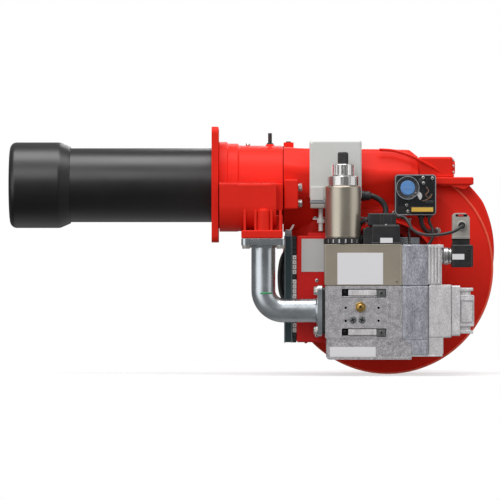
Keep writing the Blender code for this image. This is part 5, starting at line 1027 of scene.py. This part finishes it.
def make_air_switch():
    x0, x1, z0, z1, front, back = SWITCH_BOX
    shapes = [block(x0, x1, front + 3, back, z0, z1, 6, 5),
              block(x0 + 1.5, x1 - 1.5, front, front + 6, z0 + 1.5, z1 - 1.5, 2),
              block(x0 + 6, x0 + 14, back - 2, back + 6.6, 8, 15, 1),
              block(x0 + 3, x0 + 5, front - 0.5, front + 1, z0 + 16, z1 - 6, 0.5, 2),
              block(x1 - 20, x1 - 5, front - 1.2, front + 2, -34, -28, 1.2),
              block(x1 - 32, x1 - 24, front - 1, front + 2, 2, 11, 1)]
    fan_piece("air_switch_skin", shapes, "black", 0.4, 2, ["air_switch_body"])
    x, z = dial = (349.0, -6.0)
    profile = [(13.4, front - 0.2), (20.6, front - 0.2), (20.6, front - 2.6), (19.4, front - 3.4),
               (13.4, front - 1)]
    ticks = spokes(16, 0, dial, 14.6, 17.8, front - 3.2, front - 1, 1.1, 0.3)
    fan_piece("dial_cup", [turned("Y", profile, dial, 72, 0.4), *ticks], "black")
    fan_piece("dial_rim", ring("Y", 19.6, 20.8, front - 3.2, front - 3.9, dial, 72, 0.2), "grey_mid")
    knob = spun("Y", [(13, front + 3.7), (13, front - 1.4), (11.6, front - 2.5)], dial, 64, 0.6)
    grip = spokes(24, 0, dial, 12.4, 13.4, front - 1.6, front + 3, 0.8, 0.3)
    slot = [block(x - 9.5, x + 9.5, front - 3.0, front - 2.2, z + low, z + high, 0.2, 2)
            for low, high in ((-1.1, -0.5), (0.5, 1.1))]
    piece("dial_skin", [knob, *grip, *slot], "blue", stand_for=["air_switch_dial"], body="dial")


def make_switch_front():
    x0, x1, z0, z1, front, _ = SWITCH_BOX
    half = prism("Y", arc(366.5, -20.8, 8.2, -60, 120, 20), front - 2.6, front + 0.5)
    fan_piece("switch_half_disc", half, "foil", 0.4, 2)
    places = [(376.5, 12.2), (377.2, 2.6), (347, -36.6), (349.5, -48), (393, 11), (392, -46)]
    fan_screws("air_switch_screws", "Y", places, front, -1, 3.0, 1.6)
    wires = [(382, front - 1.2, -4), (386, front - 2, -12), (381, front - 2.4, -19), (388, front - 2, -24),
             (392, front - 2, -17), (385, front - 1.4, -26), (376, front - 1.2, -30)]
    fan_piece("switch_wires", lead(wires, 0.9, 10), "copper")
    rim = plate("Y", rounded(x0 + 0.6, x1 - 0.6, z0 + 0.6, z1 - 0.6, 6),
                [rounded(x0 + 2, x1 - 2, z0 + 2, z1 - 2, 5)], front - 0.6, front + 0.6)
    fan_piece("switch_frame_rim", rim, "grey_mid", 0.2, 2)
    # The switch's floor under its cover in near black: painted shade.
    fan_piece("switch_floor", block(x0 + 3, x1 - 3, front - 0.4, front + 2, -38.5, z1 - 3, 0.3, 2), "dark")
    outside, inside = rounded(x0 + 2, x1 - 2, -39, 16, 4), rounded(x0 + 3.4, x1 - 3.4, -37.6, 14.6, 3)
    cover = [plate("Y", outside, [], front - 7, front - 5.4),
             plate("Y", outside, [inside], front - 5.4, front - 0.4)]
    fan_piece("switch_cover_skin", cover, "clear", 0.4, 2, ["air_switch_cover"])
    fan_piece("switch_label", block(355.5, 394, front - 8.0, front - 6.9, -48.5, -41, 0.3, 2), "yellow")
    fan_piece("switch_label_bed", block(354, 395.5, front - 7.2, front - 0.4, -50, -39.6, 1, 2), "black")


def make_switch_leads():
    y = -88.0
    route = [(388, -77, -55.3), (388, -77, -66), (393, -79, -78), (394, y + 4, -92), (385, y, -108),
             (360, y, -122), (310, y, -130), (260, y, -128), (238, y, -124), (226.9, y + 3, -124)]
    fan_piece("air_switch_lead_skin", lead(route, 2.75), "lead", stand_for=["air_switch_lead"])
    hose = [(374, -74, -55), (374, -74, -66), (378, -71, -77), (386, -62, -84), (396, -50, -84),
            (404, -35.4, -82)]
    fan_piece("switch_hose", lead(hose, 4.2), "lead")
    barb = spun("Y", [(6.2, -35.2), (6.2, -38), (5.2, -39), (5.2, -43)], (404, -82), 32, 0.5)
    fan_piece("hose_barb", barb, "screw")
    collars = [rod("Z", 6, -59, -54.5, (388, -77), 32, 0.6), rod("Z", 6.5, -60, -54.5, (374, -74), 32, 0.6)]
    fan_piece("switch_glands", collars, "black")


CONTROL_BOX = (151.5, 226.0, -281.0, -91.0, -88.0, -44.3)


def make_control_box():
    x0, x1, z0, z1, front, back = CONTROL_BOX
    shapes = [block(x0, x1, front, back, z0, z1, 3),
              block(x0 + 20, x1 - 10, front + 8, back - 6, z1 - 3, z1 + 5.5, 2),
              block(x0 + 1.2, x1 - 1.2, front - 0.7, front + 2, z0 + 1.2, z1 - 1.2, 1.4)]
    shapes += [block(x0 + a, x0 + a + 5, front + 10, front + 20, z0 - 2, z0 + 1, 0.8, 2) for a in (14, 50)]
    fan_piece("control_box_skin", shapes, "red_plastic", 0.4, 2, ["control_box"])
    label = block(x0 + 8.5, x0 + 62.5, front - 1.2, front - 0.3, z1 - 64.5, z1 - 5.5, 0.4, 2)
    fan_piece("control_label", label, "foil")
    fan_screws("control_screws", "Y", [(x0 + 36, z0 + 12), (x0 + 36, z1 - 80)], front - 0.7, -1, 3.4, 1.2)
    keep("control_bracket", "steel", 0.5)


def make_terminals():
    z0, front, back = CONTROL_BOX[2], CONTROL_BOX[4], CONTROL_BOX[5]
    left, count = 144.2, 22
    pitch = 190 / count
    white, dark = [], []
    for i in range(count):
        low = z0 + pitch * i
        bits = white if 1 < i < 18 and i not in (8, 13) else dark
        bits.append(block(left, 151.2, front + 4, back, low + 0.5, low + pitch - 0.6, 0.7, 2))
        dark.append(rod("Y", 1.0, front + 3.6, front + 5, (147.7, low + pitch / 2), 16))
        dark.append(block(left + 0.4, 150.8, front + 6, back, low - 0.4, low + 0.8))
    fan_piece("terminal_blocks_white", white, "white", stand_for=["terminal_strip"])
    fan_piece("terminal_blocks_dark", dark, "black")


def make_channel():
    _, _, z0, z1, front, back = CONTROL_BOX
    x = 143.9
    channel = [block(x + a, x + b, y0, y1, low, high, 0.5, 2) for a, b, y0, y1, low, high in (
        (-14.4, -12.6, front + 2, back, z0 - 1, z1), (-1.8, 0, front + 2, back, z0 - 1, z1),
        (-14.2, -0.2, back - 2.2, back - 0.2, z0 - 0.8, z1 - 0.2),
        (-13.2, -1.2, front + 4.6, front + 6.2, z0, z1 - 1))]
    fan_piece("channel_skin", channel, "slate", stand_for=["wiring_channel"])
    stop = [block(x - 13, x - 1, front + 8, back - 1, z1 - 3, z1 + 9, 1.2),
            block(x - 12, x - 2, front + 7, back - 3, z1 + 2, z1 + 6, 0.8)]
    fan_piece("channel_stop", stop, "grey_mid")
    outline = [(x - 12, z1 + 8), (x - 2, z1 + 8), (x + 4, z1 + 19), (x + 1, z1 + 20.5), (x - 5, z1 + 11),
               (x - 12, z1 + 11)]
    fan_piece("channel_tab", prism("Y", softened(outline, 0.8), front + 14, back - 4), "white", 0.4, 2)
    for index, (x, y) in enumerate(((124, -66), (133, -56))):
        route = [(x + 9, y, -120), (x + 4, y, -128), (x, y, -142), (x - 2, y + 2, -165), (x, y + 3, -190),
                 (x + 6, y + 2, -205), (x + 12, y, -212)]
        fan_piece(f"conduit_{index}", lead(route, 4.6), "lead")


# Studio


def make_world():
    """White to the camera, graded in the light it gives, and patchy in reflections."""
    world = bpy.data.worlds.new("studio")
    bpy.context.scene.world = world
    nodes = Nodes(world)
    direction = nodes.add("TexCoord").outputs["Generated"]
    height = nodes.fill(nodes.add("SeparateXYZ"), {0: direction}).outputs["Z"]
    rays = nodes.add("LightPath").outputs
    worked = nodes.worked

    def ranged(source, *limits):
        return nodes.ranged(source, *limits, kind="SMOOTHSTEP")

    def toward(x, y, z, low, high, strength):
        """A soft lamp as a bright patch of sky round one direction."""
        return ranged(nodes.dot(direction, Vector((x, y, z)).normalized()), low, high, 0, strength)

    front = toward(-0.10, -0.92, 0.30, 0.35, 0.95, 0.36)
    ambient = worked("ADD", ranged(height, -0.8, 0.9, 0.14, 0.72), front)
    mirrored = ranged(height, -0.9, 0.9, 0.10, 0.30)
    for patch in ((-0.15, -0.30, 0.93, 0.82, 0.96, 0.8), (-0.72, -0.70, 0.10, 0.80, 0.97, 1.3),
                  (0.2, 0.5, -0.9, 0.70, 0.98, 0.40), (0.95, -0.2, 0.2, 0.78, 0.97, 0.9)):
        mirrored = worked("ADD", mirrored, toward(*patch))
    sharp = worked("MAXIMUM", rays["Is Glossy Ray"], rays["Is Transmission Ray"])
    seen = worked("ADD", worked("MULTIPLY", sharp, mirrored),
                  worked("MULTIPLY", worked("SUBTRACT", 1.0, sharp), ambient))
    level = worked("MAXIMUM", seen, rays["Is Camera Ray"])
    nodes.fill(nodes.tree.nodes["Background"], {"Strength": level, "Color": (1, 1, 1, 1)})


def area_light(name, place, target, width, height, power):
    data = bpy.data.lights.new(name, "AREA")
    data.shape = "RECTANGLE"
    data.size, data.size_y = width, height
    data.energy = power
    lamp = linked(name, data)
    lamp.location = place
    lamp.rotation_euler = (Vector(target) - Vector(place)).to_track_quat("-Z", "Y").to_euler()


def make_floor():
    """A disc whose edge fades out, and which looks pale but throws little light up."""
    bm = bmesh.new()
    bmesh.ops.create_circle(bm, cap_ends=True, segments=128, radius=2.4)
    mesh = bpy.data.meshes.new("floor")
    bm.to_mesh(mesh)
    bm.free()
    floor = linked("floor", mesh)
    floor.location = (0.25, 0.05, cad_box[0].z - 0.0012)
    made = bpy.data.materials.new("floor_paper")
    nodes = Nodes(made)
    thrown, seen = (0.34, 0.34, 0.34, 1), (0.96, 0.96, 0.96, 1)
    tint = nodes.mixed(nodes.add("LightPath").outputs["Is Camera Ray"], thrown, seen)
    reach = nodes.add("VectorMath", operation="LENGTH")
    nodes.fill(reach, {0: nodes.add("TexCoord").outputs["Object"]})
    fade = nodes.ranged(reach.outputs["Value"], 0.30, 0.75, 0.38, 0.0, "SMOOTHSTEP")
    nodes.fill(nodes.tree.nodes["Principled BSDF"], {
        "Base Color": tint, "Roughness": 0.9, "Specular IOR Level": 0.0, "Alpha": fade})
    mesh.materials.append(made)


def make_camera():
    data = bpy.data.cameras.new("camera")
    data.type = "PERSP"
    data.sensor_width = 36
    data.lens = 320
    data.clip_end = 100
    camera = linked("camera", data)
    camera.location = (0.0684, -8.0, -0.1166)
    camera.rotation_euler = (math.radians(90), 0, 0)
    bpy.context.scene.camera = camera


make_camera()
make_tube()
make_combustion_head()
make_flange()
make_housing()
make_pipe()
make_valve()
make_valve_base()
make_terminal_box()
make_coil()
make_knob()
make_coil_plug()
make_filter()
make_inlet_flange()
make_gas_switch()
make_gas_switch_plug()
make_casing()
make_casing_fittings()
make_cover()
make_motor()
make_cowl()
make_intake()
make_servo()
make_servo_lever()
make_air_switch()
make_switch_front()
make_switch_leads()
make_control_box()
make_terminals()
make_channel()
make_world()
area_light("overhead", (0.0, -0.25, 1.8), (0.05, 0.0, -0.1), 2.2, 1.0, 30)
area_light("front", (-0.8, -2.7, 1.7), (0.1, 0.0, -0.12), 1.5, 1.5, 24)
area_light("back", (0.6, 2.2, 1.2), (0.1, 0.0, -0.12), 1.4, 1.0, 12)
make_floor()

bpy.context.scene.view_settings.view_transform = "Standard"
